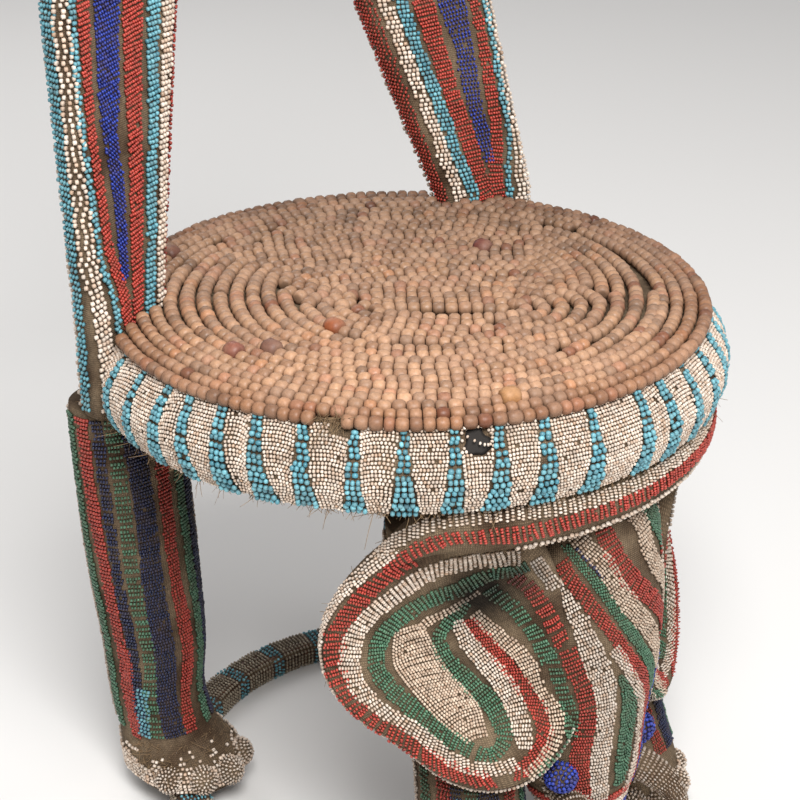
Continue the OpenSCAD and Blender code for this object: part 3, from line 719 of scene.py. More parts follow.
ear_steps = np.concatenate([np.linspace(1, 90, 24), [94, 97, 99, 100, 101, 102.5, 104, 108],
                            np.linspace(113, 199, 14)])
rear = np.linspace(0, 360, 25)
ear_rows = [
    band(ear_chart, [(96, 112), (96, 125), (97, 150), (98, 185), (99, 220), (99, 255), (98, 290), (97, 330)],
         10, (2.3, 3.0), "white", slant=6),
    band(ear_chart, [(85, 110), (86, 122), (87, 137), (88, 152), (89, 168), (90, 188), (90, 208), (89, 230),
                     (88, 250), (87, 270), (87, 285)],
         [12, 14, 14, 14, 14, 13, 12, 12, 12, 12, 12], (2.0, 2.6), "red", pitch=1.45, slant=24, stray=0.5),
    band(ear_chart, [(83, 64), (78, 69), (74, 74), (71, 81), (69, 92), (70, 107), (71, 123), (74, 138),
                     (77, 151), (79, 168), (79, 187), (78, 206), (77, 226), (77, 246), (79, 266), (80, 284),
                     (80, 298)],
         [13, 15, 17, 19, 20, 20, 19, 17, 15, 16, 15, 12, 11, 12, 12, 11, 11], (2.2, 3.0), "white",
         pitch=1.14),
    band(ear_flat, [(55, -81), (55, -72), (54, -60), (50, -44), (43, -31), (31, -15), (17, 2), (7, 17),
                    (4, 29)],
         [11, 15, 16, 17, 17, 16, 14, 12, 7], (2.2, 3.0), "white"),
    band(ear_flat, [(43, -96), (53, -93), (63, -85), (70, -71), (69, -56), (62, -41), (49, -21), (33, 0),
                    (21, 17), (11, 28)],
         [12, 12, 12, 12, 13, 13, 13, 12, 10, 8], small, "red", pitch=1.25, slant=-28),
    band(ear_flat, [(51, 78), (40, 71), (27, 69), (15, 62), (0, 55), (-14, 51), (-29, 45), (-40, 38),
                    (-51, 29), (-59, 19), (-62, 5), (-60, -8), (-52, -21), (-41, -32), (-30, -42), (-19, -52),
                    (-9, -62), (2, -70), (13, -77)],
         [10, 13, 15, 15, 15, 15, 15, 15, 15, 15, 14, 13, 12, 12, 12, 12, 12, 12, 12], (2.1, 2.7), "green",
         pitch=1.15),
    band(ear_flat, [(16, -79), (26, -83), (35, -80), (41, -71), (39, -59), (32, -46), (20, -33), (8, -20),
                    (-5, -5), (-11, 7), (-12, 17), (-5, 26), (3, 33), (12, 42)],
         [12, 11, 11, 13, 15, 15, 15, 14, 13, 12, 11, 10, 9, 7], (2.1, 2.7), "green", pitch=1.15),
    band(ear_flat, [(-30, 23), (-18, 31), (-5, 36), (8, 44), (20, 52)], [9, 8, 7, 6, 4], (2.2, 2.8), "cream"),
    band(ear_flat, [(16, 33), (28, 21), (40, 9), (52, -2), (62, -17), (70, -32), (77, -49), (79, -66),
                    (74, -80), (64, -91), (52, -99)],
         [9, 11, 13, 14, 14, 14, 13, 12, 11, 10, 9], (2.2, 2.9), "cream", pitch=1.12),
    band(ear_flat, [(26, 55), (36, 46), (47, 36), (57, 23), (64, 11), (72, -6), (80, -24), (86, -43),
                    (90, -60), (88, -79), (76, -92), (61, -100)],
         13, small, "green", pitch=1.55),
    band(ear_flat, [(42, 66), (54, 57), (65, 40), (74, 21), (83, 3), (91, -19)], 13, small, "red", pitch=1.45,
         slant=8),
    band(ear_flat, [(54, 84), (62, 72), (72, 56)], 11, (2.2, 2.9), "white"),
    band(ear_chart, np.stack([np.full(25, 112), rear], 1), 10, (3.8, 3.8), "green"),
    band(ear_chart, np.stack([np.full(25, 128), rear], 1), 15, (3.8, 3.8), "white", pitch=1.15),
    band(ear_chart, np.stack([np.full(25, 148), rear], 1), 16, (3.8, 3.8), "red", pitch=1.2)
]
# The grid's strings run across the hollow from its lower left side to its upper right one
grid_n = 43
share = np.linspace(0, 1, grid_n)
knots = np.linspace(0, 1, 6)
low_side = curve(share, knots, [(-49, 22), (-50, -3), (-41, -20), (-27, -37), (-11, -55), (8, -72)])
high_side = curve(share, knots, [(-25, 27), (-15, 7), (-4, -13), (11, -31), (23, -48), (28, -70)])
ear_rows.append(sew(ear_flat, low_side, high_side, (2.3, 2.7), "cream", bow=chance.normal(1.2, 0.3, grid_n)))
ear_beads = np.concatenate(ear_rows)
ear_beads = ear_beads[~in_face(ear_beads[:, :3], 1) & ~in_body(ear_beads[:, :3], 1)]
# A painted shadow darkens the deep pocket under the fold, on its beads and on the cloth
pocket = ear_chart(np.array([44, 45, 56, 68, 75]), np.array([81, 68, 64, 57, 56]))
depth = np.linalg.norm(ear_beads[:, None, :3] - pocket[None], axis=2).min(1)
ear_beads[:, 12:] *= 1 - 0.85 * np.exp(-(depth / 23) ** 2)[:, None]
# The cloth's share of the painted shadow in the pocket, on either side
tree = cover_cloth.node_tree
base = next(node for node in tree.nodes if node.type == "BSDF_PRINCIPLED").inputs["Base Color"]
clean = base.links[0].from_socket
place = add_node(tree, "TexCoord")
either_side = add_node(tree, "VectorMath", {"operation": "ABSOLUTE"}, n0=place.outputs["Object"])
away = add_node(tree, "VectorMath", {"operation": "DISTANCE"}, n0=either_side.outputs[0],
                n1=tuple(np.abs(pocket[:3].mean(0)) * MM))
light_share = add_node(tree, "MapRange", Value=away.outputs["Value"], From_Min=11 * MM, From_Max=44 * MM,
                       To_Min=0.08, To_Max=1.0)
pocket_shadowed = add_node(tree, "Mix", {"data_type": "RGBA", "blend_type": "MULTIPLY"}, Factor=1.0, n6=clean,
                  n7=light_share.outputs[0])
tree.links.new(pocket_shadowed.outputs[2], base)


def leaf(angle, walk):
    """The ear's chart with its angle first."""
    return ear_chart(walk, angle)


round_ear = np.linspace(0, 360, 73)
put_cloth("ear_cloth_left", leaf, round_ear, ear_steps, ("ear_left",))
put_beads("ear_beads_left", ear_beads, round_form)
put_cloth("ear_cloth_right", right_side(leaf), round_ear, ear_steps, ("ear_right",))
put_beads("ear_beads_right", mirrored(ear_beads), far_form)


# Eyes, tusks, tail and toenails
# Small carved bosses under cloth: blue rosettes for the eyes, tusks and toenails covered
# with white beads, and a tail bound with red and white ones.
def boss(middle, facing, r):
    """Chart of a ball: degrees round the direction that it faces, and degrees from that direction."""
    facing = unit(np.array(facing, float))
    side = unit(np.cross(facing, [0, 0, 1.0]))
    top = np.cross(side, facing)

    def chart(turn, slope):
        t, a = np.radians(turn)[:, None], np.radians(slope)[:, None]
        return np.array(middle) + r * (facing * np.cos(a) + (side * np.cos(t) + top * np.sin(t)) * np.sin(a))

    return chart


def tube(rows):
    """Chart of a tapering tube along rows of (x, y, z, radius): degrees round it, place among the rows."""
    rows = np.array(rows, float)
    knots = np.arange(len(rows))

    def chart(turn, place):
        here = curve(place, knots, rows)
        ahead = unit(curve(np.minimum(place + 0.1, knots[-1]), knots, rows)[:, :3]
                     - curve(np.maximum(place - 0.1, 0), knots, rows)[:, :3])
        side = unit(np.cross(ahead, [0.0, 0.3, 1.0]))
        t = np.radians(turn)[:, None]
        return here[:, :3] + here[:, 3:] * (side * np.cos(t) + np.cross(side, ahead) * np.sin(t))

    return chart


def rings(chart, places, bead, colours):
    """Rings of beads, each round the chart at one of the places; the colours take turns."""
    rows = []
    for number, place in enumerate(places):
        turn = np.linspace(0, 360, 37)
        around = np.linalg.norm(np.diff(chart(turn, np.full(37, place)), axis=0), axis=1).sum()
        n = max(int(round(around / bead[0])), 1)
        start = np.stack([360 / n * (np.arange(n) + chance.random()), np.full(n, place)], 1)
        rows.append(sew(chart, start, start + [360 / n, 0], bead, colours[number % len(colours)], loss=0))
    return np.concatenate(rows)


mouth = np.array([0, head_y, mouth_z])
eye = rings(boss(mouth + [-46, -38, 21], (-0.8, -0.6, 0.1), 10.6), np.arange(8, 100, 18), (3.4, 3.5),
            ["blue"])
put_beads("eye_beads", [eye, mirrored(eye)], round_form)
nails = []
feet = ((front_x - 2, front_y - 10, 43, 46), (hind_x + 3, hind_y - 22, 43, 52))
for foot_x, foot_y, half_x, half_y in feet:
    for a in np.radians([-150, -115, -80, -45]):
        spot = (foot_x + 0.96 * half_x * np.cos(a), foot_y + 0.96 * half_y * np.sin(a), ring_t + 12)
        nail = boss(spot, (np.cos(a), np.sin(a), 0.5), 10.8)
        nails.append(rings(nail, np.arange(8, 110, 15.5), (2.8, 3.0), ["white"]))
nails = np.concatenate(nails)
put_beads("toenail_beads", [nails, mirrored(nails)], far_form)
tusk = tube([mouth + (-30, -26, 1), mouth + (-43, -50, -9), mouth + (-50, -68, -21), mouth + (-51, -78, -32),
             mouth + (-50, -82, -42)] @ np.eye(3, 4) + [[0, 0, 0, r] for r in (13, 13, 10.5, 7.5, 4)])
tusk_beads = rings(tusk, np.arange(0.3, 4, 0.14), (2.8, 3.0), ["white", "cream", "white"])
tusk_beads = tusk_beads[~in_face(tusk_beads[:, :3])]
put_beads("tusk_beads", [tusk_beads, mirrored(tusk_beads)], far_form)
rump_y = body_mid_y + body_half_l
tail = tube([(0, rump_y - 16, board_z - 14, 10), (0, rump_y - 2, board_z - 34, 9),
             (0, rump_y - 2, board_z - 62, 8), (0, rump_y - 14, board_z - 84, 9),
             (0, rump_y - 26, board_z - 98, 7)])
put_beads("tail_beads", rings(tail, np.arange(0.1, 4, 0.125), (3.2, 3.2), ["red", "red", "red", "white"]),
          far_form)
for name in ("eyes", "tusk_left", "tusk_right", "tail", "toenails"):
    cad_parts[name].data.materials.clear()

# Seat board and its edge
# A thick wooden disc under cloth. Its edge carries rows of white seed beads in panels,
# parted by columns of larger turquoise beads that widen towards the foot.
seat_h = 440
seat_r = 230
board_top = node_mm("seat_board")[1][2]
rim_swell = 12
rim_foot_out = 12


def rim_chart(angle, height, out=1.5):
    """Round the edge in degrees, and up it in millimetres from its foot."""
    part = height / (board_top - board_z)
    r = seat_r - 8 + rim_foot_out * (1 - part) + rim_swell * np.sin(np.pi * np.clip(part, 0, 1)) + out
    a = np.radians(angle)
    return np.stack([r * np.cos(a), r * np.sin(a), board_z + height], -1)


# Cuts where the back's two uprights stand in the seat
back_front_y = 139
back_curve_r = 546
back_t = 28
upright_in = (-136, 167)
upright_out = (-228, 238)


def back_y(x, z):
    """Front of the back's slab: an arc seen from above, leaning 9.5 degrees backwards above the seat."""
    lean = np.maximum(z - seat_h, 0) * np.tan(np.radians(9.5))
    return back_front_y - back_curve_r + np.sqrt(back_curve_r ** 2 - x ** 2) + lean


def in_uprights(p, margin=3.0):
    """Whether points lie in an upright's foot, made wider by the margin."""
    held = np.zeros(len(p), bool)
    for inner, outer in zip(upright_in, upright_out):
        low, high = min(inner, outer) - margin, max(inner, outer) + margin
        behind = p[:, 1] - back_y(np.clip(p[:, 0], -300, 300), seat_h)
        held |= (p[:, 0] > low) & (p[:, 0] < high) & (behind > -margin) & (behind < back_t + margin)
    return held


rise = board_top - board_z


def edge_skin(walk, angle):
    """The edge's cloth as a closed band: up its outer face, 0 to 14, and down its inner one."""
    height = np.interp(walk, [0, 14, 15, 29], [0, rise, rise, 0])
    inner = walk > 14.5
    outer = rim_chart(-angle, height)
    hidden = rim_chart(-angle, height, out=0.3)
    return np.where(inner[..., None], hidden, outer)


put_cloth("edge_cloth", edge_skin, np.concatenate([np.arange(0, 30.0), [0]]), np.linspace(0, 360, 181),
          ("rim_cloth",))
# Columns at the photographed side stand where the photograph has them, the others evenly
seen_foot = [186, 194, 201.4, 208.4, 216.2, 224.3, 231.8, 238.9, 247, 256, 267]
seen_top = [183.5, 190.8, 198, 206.8, 215.8, 224, 232.6, 240.3, 248.3, 257.6, 269]
rest_n = 33
rest = 267 + (360 - 81) / (rest_n + 1) * np.arange(1, rest_n + 1)
column_foot = np.concatenate([seen_foot, rest])
column_top = np.concatenate([seen_top, rest])
column_n = len(column_foot)
foot_w = chance.uniform(15.5, 20.5, column_n)
top_w = chance.uniform(5, 8.5, column_n)


def column_place(column, height):
    """Middle of a column at a height, and half its width, in degrees."""
    part = height / rise
    middle = column_foot[column] + (column_top[column] - column_foot[column]) * part
    width = foot_w[column] + (top_w[column] - foot_w[column]) * part ** 0.8
    return middle, np.degrees(width / 2 / np.hypot(*rim_chart(0 * height, height)[:, :2].T))


# Heights of rows that lie evenly spaced along the edge's curved face
fine = np.linspace(0, rise, 200)
face_x, _, face_z = rim_chart(0 * fine, fine).T
face_run = np.concatenate([[0], np.cumsum(np.hypot(np.diff(face_x), np.diff(face_z)))])
even = np.interp(np.arange(1.4, face_run[-1] + 0.6, 2.62), face_run, fine)
column, level = every_pair(np.arange(column_n), even)
tilt = chance.normal(0, 1.0, column_n)[column] * (0.3 + level / rise)
arch = chance.normal(0.6, 0.8, column_n)[column]
left, half = column_place(column, level)
right, half_next = column_place((column + 1) % column_n, level)
right = np.where(right < left, right + 360, right)
ragged = chance.normal(0, 0.12, (2, len(level)))
start = np.stack([left + half + 0.05 + ragged[0], np.clip(level - tilt, 0.4, rise + 0.6)], 1)
end = np.stack([right - half_next - 0.05 + ragged[1], np.clip(level + tilt, 0.4, rise + 0.6)], 1)
rows = sew(rim_chart, start, end, (2.5, 2.75), "white", bow=arch, lift=0.45, loss=0.012)
rows = rows[~in_uprights(rows[:, :3])]
# At the front a panel has a hole, with loose strings across it and one hanging down,
# and another has lost its upper rows
hole_at, hole_h = 236.2, 49.5
worn_at = 213
at_angle = np.degrees(np.arctan2(rows[:, 1], rows[:, 0])) % 360
hole = ((at_angle - hole_at) / 2.5) ** 2 + ((rows[:, 2] - board_z - hole_h) / 8.5) ** 2 < 1
worn = (np.abs(at_angle - worn_at) < 1.9) & (rows[:, 2] > board_z + rise - 4.5)
rows = np.concatenate([
    rows[~hole & ~worn],
    sew(rim_chart, [(233.9, 55.6)], [(238.6, 56)], (2.4, 2.6), "white", lift=1.5, loss=0),
    sew(rim_chart, [(234, 52)], [(238.5, 53)], (1.9, 2.6), "white", bow=-7, lift=1.6, loss=0.1),
    sew(rim_chart, [(233.4, 44)], [(233.9, 8)], (2.5, 2.7), "white", bow=0.15, lift=1.3, loss=0.3),
    sew(rim_chart, [(214.9, 50)], [(215.1, 38)], (2.4, 2.7), "white", bow=-0.7, lift=1.4, loss=0)
])
# Painted shade: a black patch on the bare wood stands for the shade inside the hole, so the eye takes it for
# a hole
hole_shade = finish_called("painted_shade_in_the_hole", Roughness=0.8, Base_Color=linear("#1d1712"))[0]
hole_sides = 24
turn, part = every_pair(np.arange(hole_sides) * 360 / hole_sides, [0.35, 0.7, 1.0])
part = part * (1 + 0.16 * np.cos(np.radians(3 * turn + 60)) + 0.1 * np.cos(np.radians(5 * turn)))
spots = np.stack([hole_at + 2.3 * part * np.cos(np.radians(turn)),
                  hole_h - 1 + 8 * part * np.sin(np.radians(turn))], 1)
hole_middle = np.array([hole_at]), np.array([hole_h])
patch = np.concatenate([rim_chart(*spots.T, 2.1), rim_chart(*hole_middle, 2.1), rim_chart(*hole_middle, 0.4)])
put_mesh("edge_hole", patch, tube_faces(3, hole_sides), hole_shade)
facing = rows[:, 0] + rows[:, 1] < 40
put_beads("edge_white_beads_front", rows[facing], round_form,
          stands_for=("rim_white_panels",))
put_beads("edge_white_beads_rear", rows[~facing], far_form)
large_rows = np.interp(np.arange(2.4, face_run[-1], 4.1), face_run, fine)
column, level = every_pair(np.arange(column_n), large_rows)
middle, half = column_place(column, level)
level = level + chance.normal(0, 0.35, len(level))
middle = middle + chance.normal(0, 0.16, len(level))
rows = sew(rim_chart, np.stack([middle - half, level], 1), np.stack([middle + half, level], 1), (4.2, 4.4),
           "turquoise", bow=chance.normal(0, 0.5, len(level)), lift=0.45)
rows[:, 12:] *= chance.normal(1, 0.09, (len(rows), 1))
rows = rows[~in_uprights(rows[:, :3])]
put_beads("edge_turquoise_beads", rows, round_form,
          stands_for=("rim_turquoise_columns",))

# Seat
# Cloth with one string of wooden beads wound on it from the middle outwards, and four
# outer rows of larger ones. The beads are barrels, rubbed smooth and dusty.
cloth_z = node_mm("seat_cloth")[1][2]
wood_d = 10.6
barrel = [(-0.49, 0.2), (-0.44, 0.36), (-0.22, 0.48), (0.22, 0.48), (0.44, 0.36), (0.49, 0.2)]
wood_form = bead_form(barrel, 10)
# Hardwood, turned and dusty: dull, faintly shiny where sitters rubbed it, fine grain along the hole
turned_wood, tree, shader = finish_called("turned_hardwood", Roughness=0.5, IOR=1.45)
own = add_node(tree, "Attribute", {"attribute_name": "bead_colour_and_shade"})
place = add_node(tree, "TexCoord")
dust = add_node(tree, "TexNoise", Vector=place.outputs["Object"], Scale=1 / (26 * MM), Detail=5.0)
grain = add_node(tree, "TexNoise", Vector=place.outputs["Object"], Scale=1 / (2.4 * MM), Detail=4.0,
                 Roughness=0.7)
cover = add_node(tree, "MapRange", Value=dust.outputs["Fac"], From_Min=0.4, From_Max=0.75, To_Min=0.0,
                 To_Max=0.5)
dusty = add_node(tree, "Mix", {"data_type": "RGBA"}, Factor=cover.outputs[0], n6=own.outputs["Color"],
                 n7=linear("#b8947a"))
grained = add_node(tree, "Mix", {"data_type": "RGBA", "blend_type": "OVERLAY"}, Factor=0.45,
                   n6=dusty.outputs[2], n7=grain.outputs["Fac"])
tree.links.new(grained.outputs[2], shader.inputs["Base Color"])
polish = add_node(tree, "MapRange", Value=dust.outputs["Fac"], From_Min=0.3, From_Max=0.7, To_Min=0.38,
                  To_Max=0.62)
tree.links.new(polish.outputs[0], shader.inputs["Roughness"])
pits = add_node(tree, "Bump", Strength=0.35, Distance=0.3 * MM, Height=grain.outputs["Fac"])
tree.links.new(pits.outputs[0], shader.inputs["Normal"])

wood_tones = np.array([linear(code)[:3] for code in
                       ("#ab8466", "#9c765b", "#b48b6b", "#a9795d", "#8d6d56", "#b4825f", "#8a5a42")])
wood_share = [0.34, 0.27, 0.17, 0.06, 0.11, 0.03, 0.02]


def thread_wood(line, width, z):
    """Wooden beads end to end along a line of seat places, each a little shorter than it is wide."""
    steps = np.linalg.norm(np.diff(line, axis=0), axis=1)
    gone = np.concatenate([[0], np.cumsum(steps)])
    lengths = chance.normal(0.88, 0.06, int(gone[-1] / width * 1.4) + 2) * width
    ends = np.cumsum(lengths)
    ends = ends[ends < gone[-1] + 1]
    n = len(ends)
    lengths = lengths[:n, None]
    middle_at = ends - lengths[:, 0] / 2
    middle = np.stack([np.interp(middle_at, gone, line[:, i]) for i in (0, 1)], 1)
    ahead = np.stack([np.interp(middle_at + 2, gone, line[:, i]) - np.interp(middle_at - 2, gone, line[:, i])
                      for i in (0, 1)], 1)
    along = unit(np.concatenate([ahead, chance.normal(0, 0.12, (n, 1))], 1))
    out = np.tile([0.0, 0.0, 1.0], (n, 1))
    wide = width * chance.normal(1, 0.035, (n, 1))
    high = z + wide / 2 + chance.normal(0, 0.15, (n, 1))
    tint = wood_tones[chance.choice(len(wood_tones), n, p=wood_share)] * chance.normal(1, 0.08, (n, 1))
    return np.concatenate([middle, high, along, out, lengths, wide, wide * 0.98, tint], 1)


edge_row_r = np.array([192.5, 203.3, 214.1, 224.9])
edge_drop = (0, 0.2, 1.0, 2.4)
inner_r = 187
full_turns = 8
core_at = (27.4, -39.7)


def spoke(phi):
    """A spoke of the winding at an angle: both ends, and the rows that fit on it.

    Seen from the photograph's side, x to the right and y away. Spokes run from a flat oval
    to the circle, and rows lie wider apart at the right and left than in front and behind.
    """
    cos, sin = np.cos(phi), np.sin(phi)
    inner = np.stack([core_at[0] + 41 * power(cos, 0.7) + 5 * cos, core_at[1] + 5 * sin], -1)
    outer = inner_r * np.stack([cos, sin], -1)
    pitch = 10.8 + (np.where(cos > 0, 14.5, 13) - 10.8) * np.abs(cos) ** 3
    return inner, outer, np.linalg.norm(outer - inner, axis=-1) / pitch


# Part rows run only where there is room for them: turn after which each starts, and their order
part_rows = 13
part_gap = np.sort((np.arange(part_rows) * 5) % full_turns)
part_order = chance.permutation(part_rows)


def winding(phi, own, before):
    """Seat places of a row: own number of full turns, and how many part rows lie further in.

    Part row k, in shuffled order, takes a share of a row's width: n - 8 - k, held between 0
    and 1, where n rows fit.
    """
    inner, outer, fitting = spoke(phi)
    shares = np.clip(fitting[:, None] - full_turns - np.arange(part_rows)[None], 0, 1)[:, part_order]
    place = own + phi % (2 * np.pi) / (2 * np.pi) + shares[:, :before].sum(1)
    x, y = (inner + (outer - inner) * (place / (full_turns + shares.sum(1)))[:, None]).T
    turn = np.sqrt(0.5)
    return np.stack([turn * (x + y), turn * (y - x)], 1), shares


phi = np.linspace(0, 2 * np.pi, 721)[:-1]
wound = np.concatenate([winding(phi, own, int((part_gap < own).sum()))[0] for own in range(full_turns)])
wound_beads = [thread_wood(wound, wood_d, cloth_z)]
for k, gap in enumerate(part_gap):
    line, shares = winding(phi, gap, k + 1)
    wide_enough = shares[:, k] > 0.62
    # The rear stretch, then the front one
    for stretch in (phi < np.pi, phi >= np.pi):
        if (wide_enough & stretch).sum() > 8:
            wound_beads.append(thread_wood(line[wide_enough & stretch], wood_d, cloth_z))
wound_beads = np.concatenate(wound_beads)
# Beads are larger where the rows have more room
seen_x = (wound_beads[:, 0] - wound_beads[:, 1]) * np.sqrt(0.5)
seen_y = (wound_beads[:, 0] + wound_beads[:, 1]) * np.sqrt(0.5)
room = np.abs(np.cos(np.arctan2(seen_y - core_at[1], seen_x - core_at[0]))) ** 3
wound_beads[:, 10:12] *= 1 + room[:, None] * 0.12
rows = []
for r, drop in zip(edge_row_r, edge_drop):
    a = np.linspace(0, 2 * np.pi, 900)
    rows.append(thread_wood(np.stack([r * np.cos(a), r * np.sin(a)], 1), wood_d, cloth_z - drop))
edge_beads = np.concatenate(rows)
edge_beads = edge_beads[~in_uprights(edge_beads[:, :3], 5)]
# The last row has a gap at the front, and the outer rows are darker
gap_at = 211
at_angle = np.degrees(np.arctan2(edge_beads[:, 1], edge_beads[:, 0])) % 360
last_row = np.hypot(edge_beads[:, 0], edge_beads[:, 1]) > 219
edge_beads = edge_beads[~(last_row & (np.abs(at_angle - gap_at) < 3.2))]
outwards = np.clip((np.hypot(edge_beads[:, 0], edge_beads[:, 1]) - 198) / 22, 0, 1)[:, None]
edge_beads[:, 12:] *= 1 - outwards * [[0.32, 0.42, 0.48]]
# A few larger beads are painted
painted = [(-77.5, 183.7, "#6b3a2c"), (100.8, 21, "#702a26"), (-89.6, -11.8, "#965535"),
           (-176.5, 4.4, "#8a5747"), (-153, -11.8, "#684238"), (-86, -182, "#a87746")]
kept_rows = []
for beads in (wound_beads, edge_beads):
    for x, y, colour in painted:
        far = np.hypot(beads[:, 0] - x, beads[:, 1] - y)
        nearest = far.argmin()
        if far[nearest] < 9:
            beads[nearest, 9:12] = (15, 16, 15.6)
            beads[nearest, 2] += 2.2
            beads[nearest, 12:] = linear(colour)[:3]
    kept_rows.append(beads)
# The seat is brightest at the front and darkens towards the back: painted light falling off from the front,
# and dust
for beads in kept_rows:
    behind = (beads[:, 0] + beads[:, 1]) * np.sqrt(0.5)
    beads[:, 12:] *= 1.16 - 0.62 * np.clip((behind[:, None] + 170) / 360, 0, 1)
put_beads("seat_string_beads", kept_rows[0], wood_form, turned_wood, ("seat_bead_string",))
put_beads("seat_edge_beads", kept_rows[1], wood_form, turned_wood, ("edge_bead_rows",))

# The back
# Two curved slabs that lean back and run together into a rounded crest, all sewn into
# cloth. White, turquoise, red and blue bands of strings follow their length.
joint_z = node_mm("crest")[0][2]
crest_h = 130
inner_slope = np.tan(np.radians(17))
outer_slope = np.tan(np.radians(6))
back_section = oblong(0.42, 45, 14)


def upright_edges(side, z):
    """Inner and outer x of an upright at a height; side is -1 at the left and 1 at the right."""
    up = np.maximum(z - seat_h, 0)
    i = (side + 1) // 2
    return upright_in[i] - side * up * inner_slope, upright_out[i] - side * up * outer_slope


arch_in = [upright_edges(side, joint_z)[0] for side in (-1, 1)]
arch_out = [upright_edges(side, joint_z)[1] for side in (-1, 1)]
arch_mid, arch_r = sum(arch_in) / 2, (arch_in[1] - arch_in[0]) / 2
crest_mid, crest_half = sum(arch_out) / 2, (arch_out[1] - arch_out[0]) / 2


def back_chart(t, s):
    """Along the back in millimetres or degrees, and round the slab's section from the middle of its front.

    t runs up the left upright to 0, over the arch to 180 and down the right upright from there.
    """
    x, y = back_section(s)
    share = (x + 1) / 2
    left_in, left_out = upright_edges(-1, joint_z + t)
    right_in, right_out = upright_edges(1, joint_z - (t - 180))
    a = np.radians(180 - np.clip(t, 0, 180))
    rise = np.sin(a)
    over_in_x, over_in_z = arch_mid + arch_r * np.cos(a), joint_z + arch_r * rise
    over_out_x, over_out_z = crest_mid + crest_half * power(np.cos(a), 0.9), joint_z + crest_h * rise
    in_x = np.where(t < 0, left_in, np.where(t > 180, right_in, over_in_x))
    out_x = np.where(t < 0, left_out, np.where(t > 180, right_out, over_out_x))
    in_z = np.where(t < 0, joint_z + t, np.where(t > 180, joint_z + 180 - t, over_in_z))
    out_z = np.where(t < 0, joint_z + t, np.where(t > 180, joint_z + 180 - t, over_out_z))
    px, pz = in_x + (out_x - in_x) * share, in_z + (out_z - in_z) * share
    return np.stack([px, back_y(px, pz) + back_t / 2 * (1 + y), pz], -1)


foot_t = board_z - joint_z
for name, low, high, node in (
        ("back_left_cloth", foot_t, 0, "upright_left"), ("back_crest_cloth", 0, 180, "crest"),
        ("back_right_cloth", 180, 180 - foot_t, "upright_right")):
    put_cloth(name, lambda s, t: back_chart(t, s), np.linspace(0, 360, 57), np.linspace(low, high, 61),
              (node,))
# Bands over the front, from the inner edge, -1, to the outer, 1, by height above the floor,
# with their widths in millimetres; both uprights and the crest carry the same ones
front_half_turn = 68
levels = np.array([431, 457, 488, 524, 565, 606, 700, 820])
crest_steps = np.linspace(0, 180, 13)


def whole_way(across, width, low=431):
    """Path and widths of a band up one upright, over the crest and down the other."""
    z = np.concatenate([[low], levels[levels > low + 8]])
    u, w = np.interp(z, levels, across), np.interp(z, levels, width)
    crown = np.ones(len(crest_steps) - 2)
    t = np.concatenate([z - joint_z, crest_steps[1:-1], 180 + joint_z - z[::-1]])
    place = front_half_turn * np.concatenate([u, u[-1] * crown, u[::-1]])
    corner = np.full(len(crest_steps), front_half_turn)
    wide = np.linalg.norm(back_chart(crest_steps, -corner) - back_chart(crest_steps, corner), axis=1)
    return np.stack([t, place], 1), np.concatenate([w, w[-1] * wide[1:-1] / wide[[0, -1]].mean(), w[::-1]])


large = (3.7, 3.8)
seeds = (2.5, 2.7)
front_bands = [
    ("white", large, 1.04, 431, [-0.86, -0.86, -0.86, -0.86, -0.86, -0.87, -0.87, -0.88],
     [11, 11, 11, 11, 12, 13, 16, 19]),
    ("turquoise", large, 1.04, 431, [-0.5, -0.53, -0.57, -0.56, -0.6, -0.58, -0.6, -0.62],
     [11, 12, 12, 12, 12, 13, 17, 20]),
    ("red", seeds, 1.22, 431, [-0.16, -0.19, -0.18, -0.21, -0.2, -0.19, -0.22, -0.25],
     [12, 14, 16, 16, 17, 20, 27, 33]),
    ("blue", (3.0, 3.1), 1.06, 466, [0.12, 0.14, 0.2, 0.22, 0.33, 0.32, 0.25, 0.22],
     [5, 7, 13, 15, 17, 27, 34, 40]),
    ("red", seeds, 1.22, 431, [0.14, 0.23, 0.52, 0.63, 0.72, 0.74, 0.68, 0.65],
     [12, 13, 11, 11, 10, 10, 17, 24]),
    ("turquoise", large, 1.04, 431, [0.44, 0.55, 0.8, 0.86, 0.92, 0.93, 0.9, 0.88],
     [6, 6, 6, 6, 6, 6, 8, 10]),
    ("white", large, 1.04, 378, [0.86, 0.92, 1.04, 1.07, 1.08, 1.08, 1.07, 1.06],
     [15, 14, 12, 12, 12, 12, 13, 14])
]
made = {"large": [], "red": [], "blue": []}
for colour, bead, pitch, low, across, width in front_bands:
    path, widths = whole_way(across, width, low)
    kind = "large" if bead is large else colour
    made[kind].append(band(back_chart, path, widths, bead, colour, pitch=pitch,
                           slant=0 if bead is large else 7, lift=0.5))
put_beads("back_front_large_beads", made["large"], seed_form)
put_beads("back_front_red_beads", made["red"], seed_form)
put_beads("back_front_blue_beads", made["blue"], far_form)
# Bands over the sides and the rear: degrees round the section, width, bead, colour; they widen upwards
rows = []
grow = (0.72, 0.77, 0.83, 0.9, 0.97, 1.05, 1.2, 1.35)
side_bands = [(94, 15, 3.8, "turquoise"), (272, 21, 3.1, "red"), (116, 14, 4.1, "white"),
              (142, 22, 4.0, "red"), (170, 22, 4.1, "blue"), (196, 22, 4.0, "red"),
              (222, 18, 4.1, "turquoise"), (244, 14, 4.1, "white")]
for place, width, size, colour in side_bands:
    path, widths = whole_way([place / front_half_turn] * len(grow), np.array(grow) * width, 376)
    rows.append(band(back_chart, path, widths, (size, size), colour, pitch=1.12, lift=0.5))
put_beads("back_rear_beads", rows, far_form)

# Loose threads
# Frayed ends of thread where beads are lost: under the edge, round the feet, along the
# lower edge of the ear and in the gap of the last seat row.
# Cotton thread, spun and frayed: pale and without any shine
frayed = finish_called("frayed_cotton", Roughness=0.9, Base_Color=linear("#8d7355"))[0]


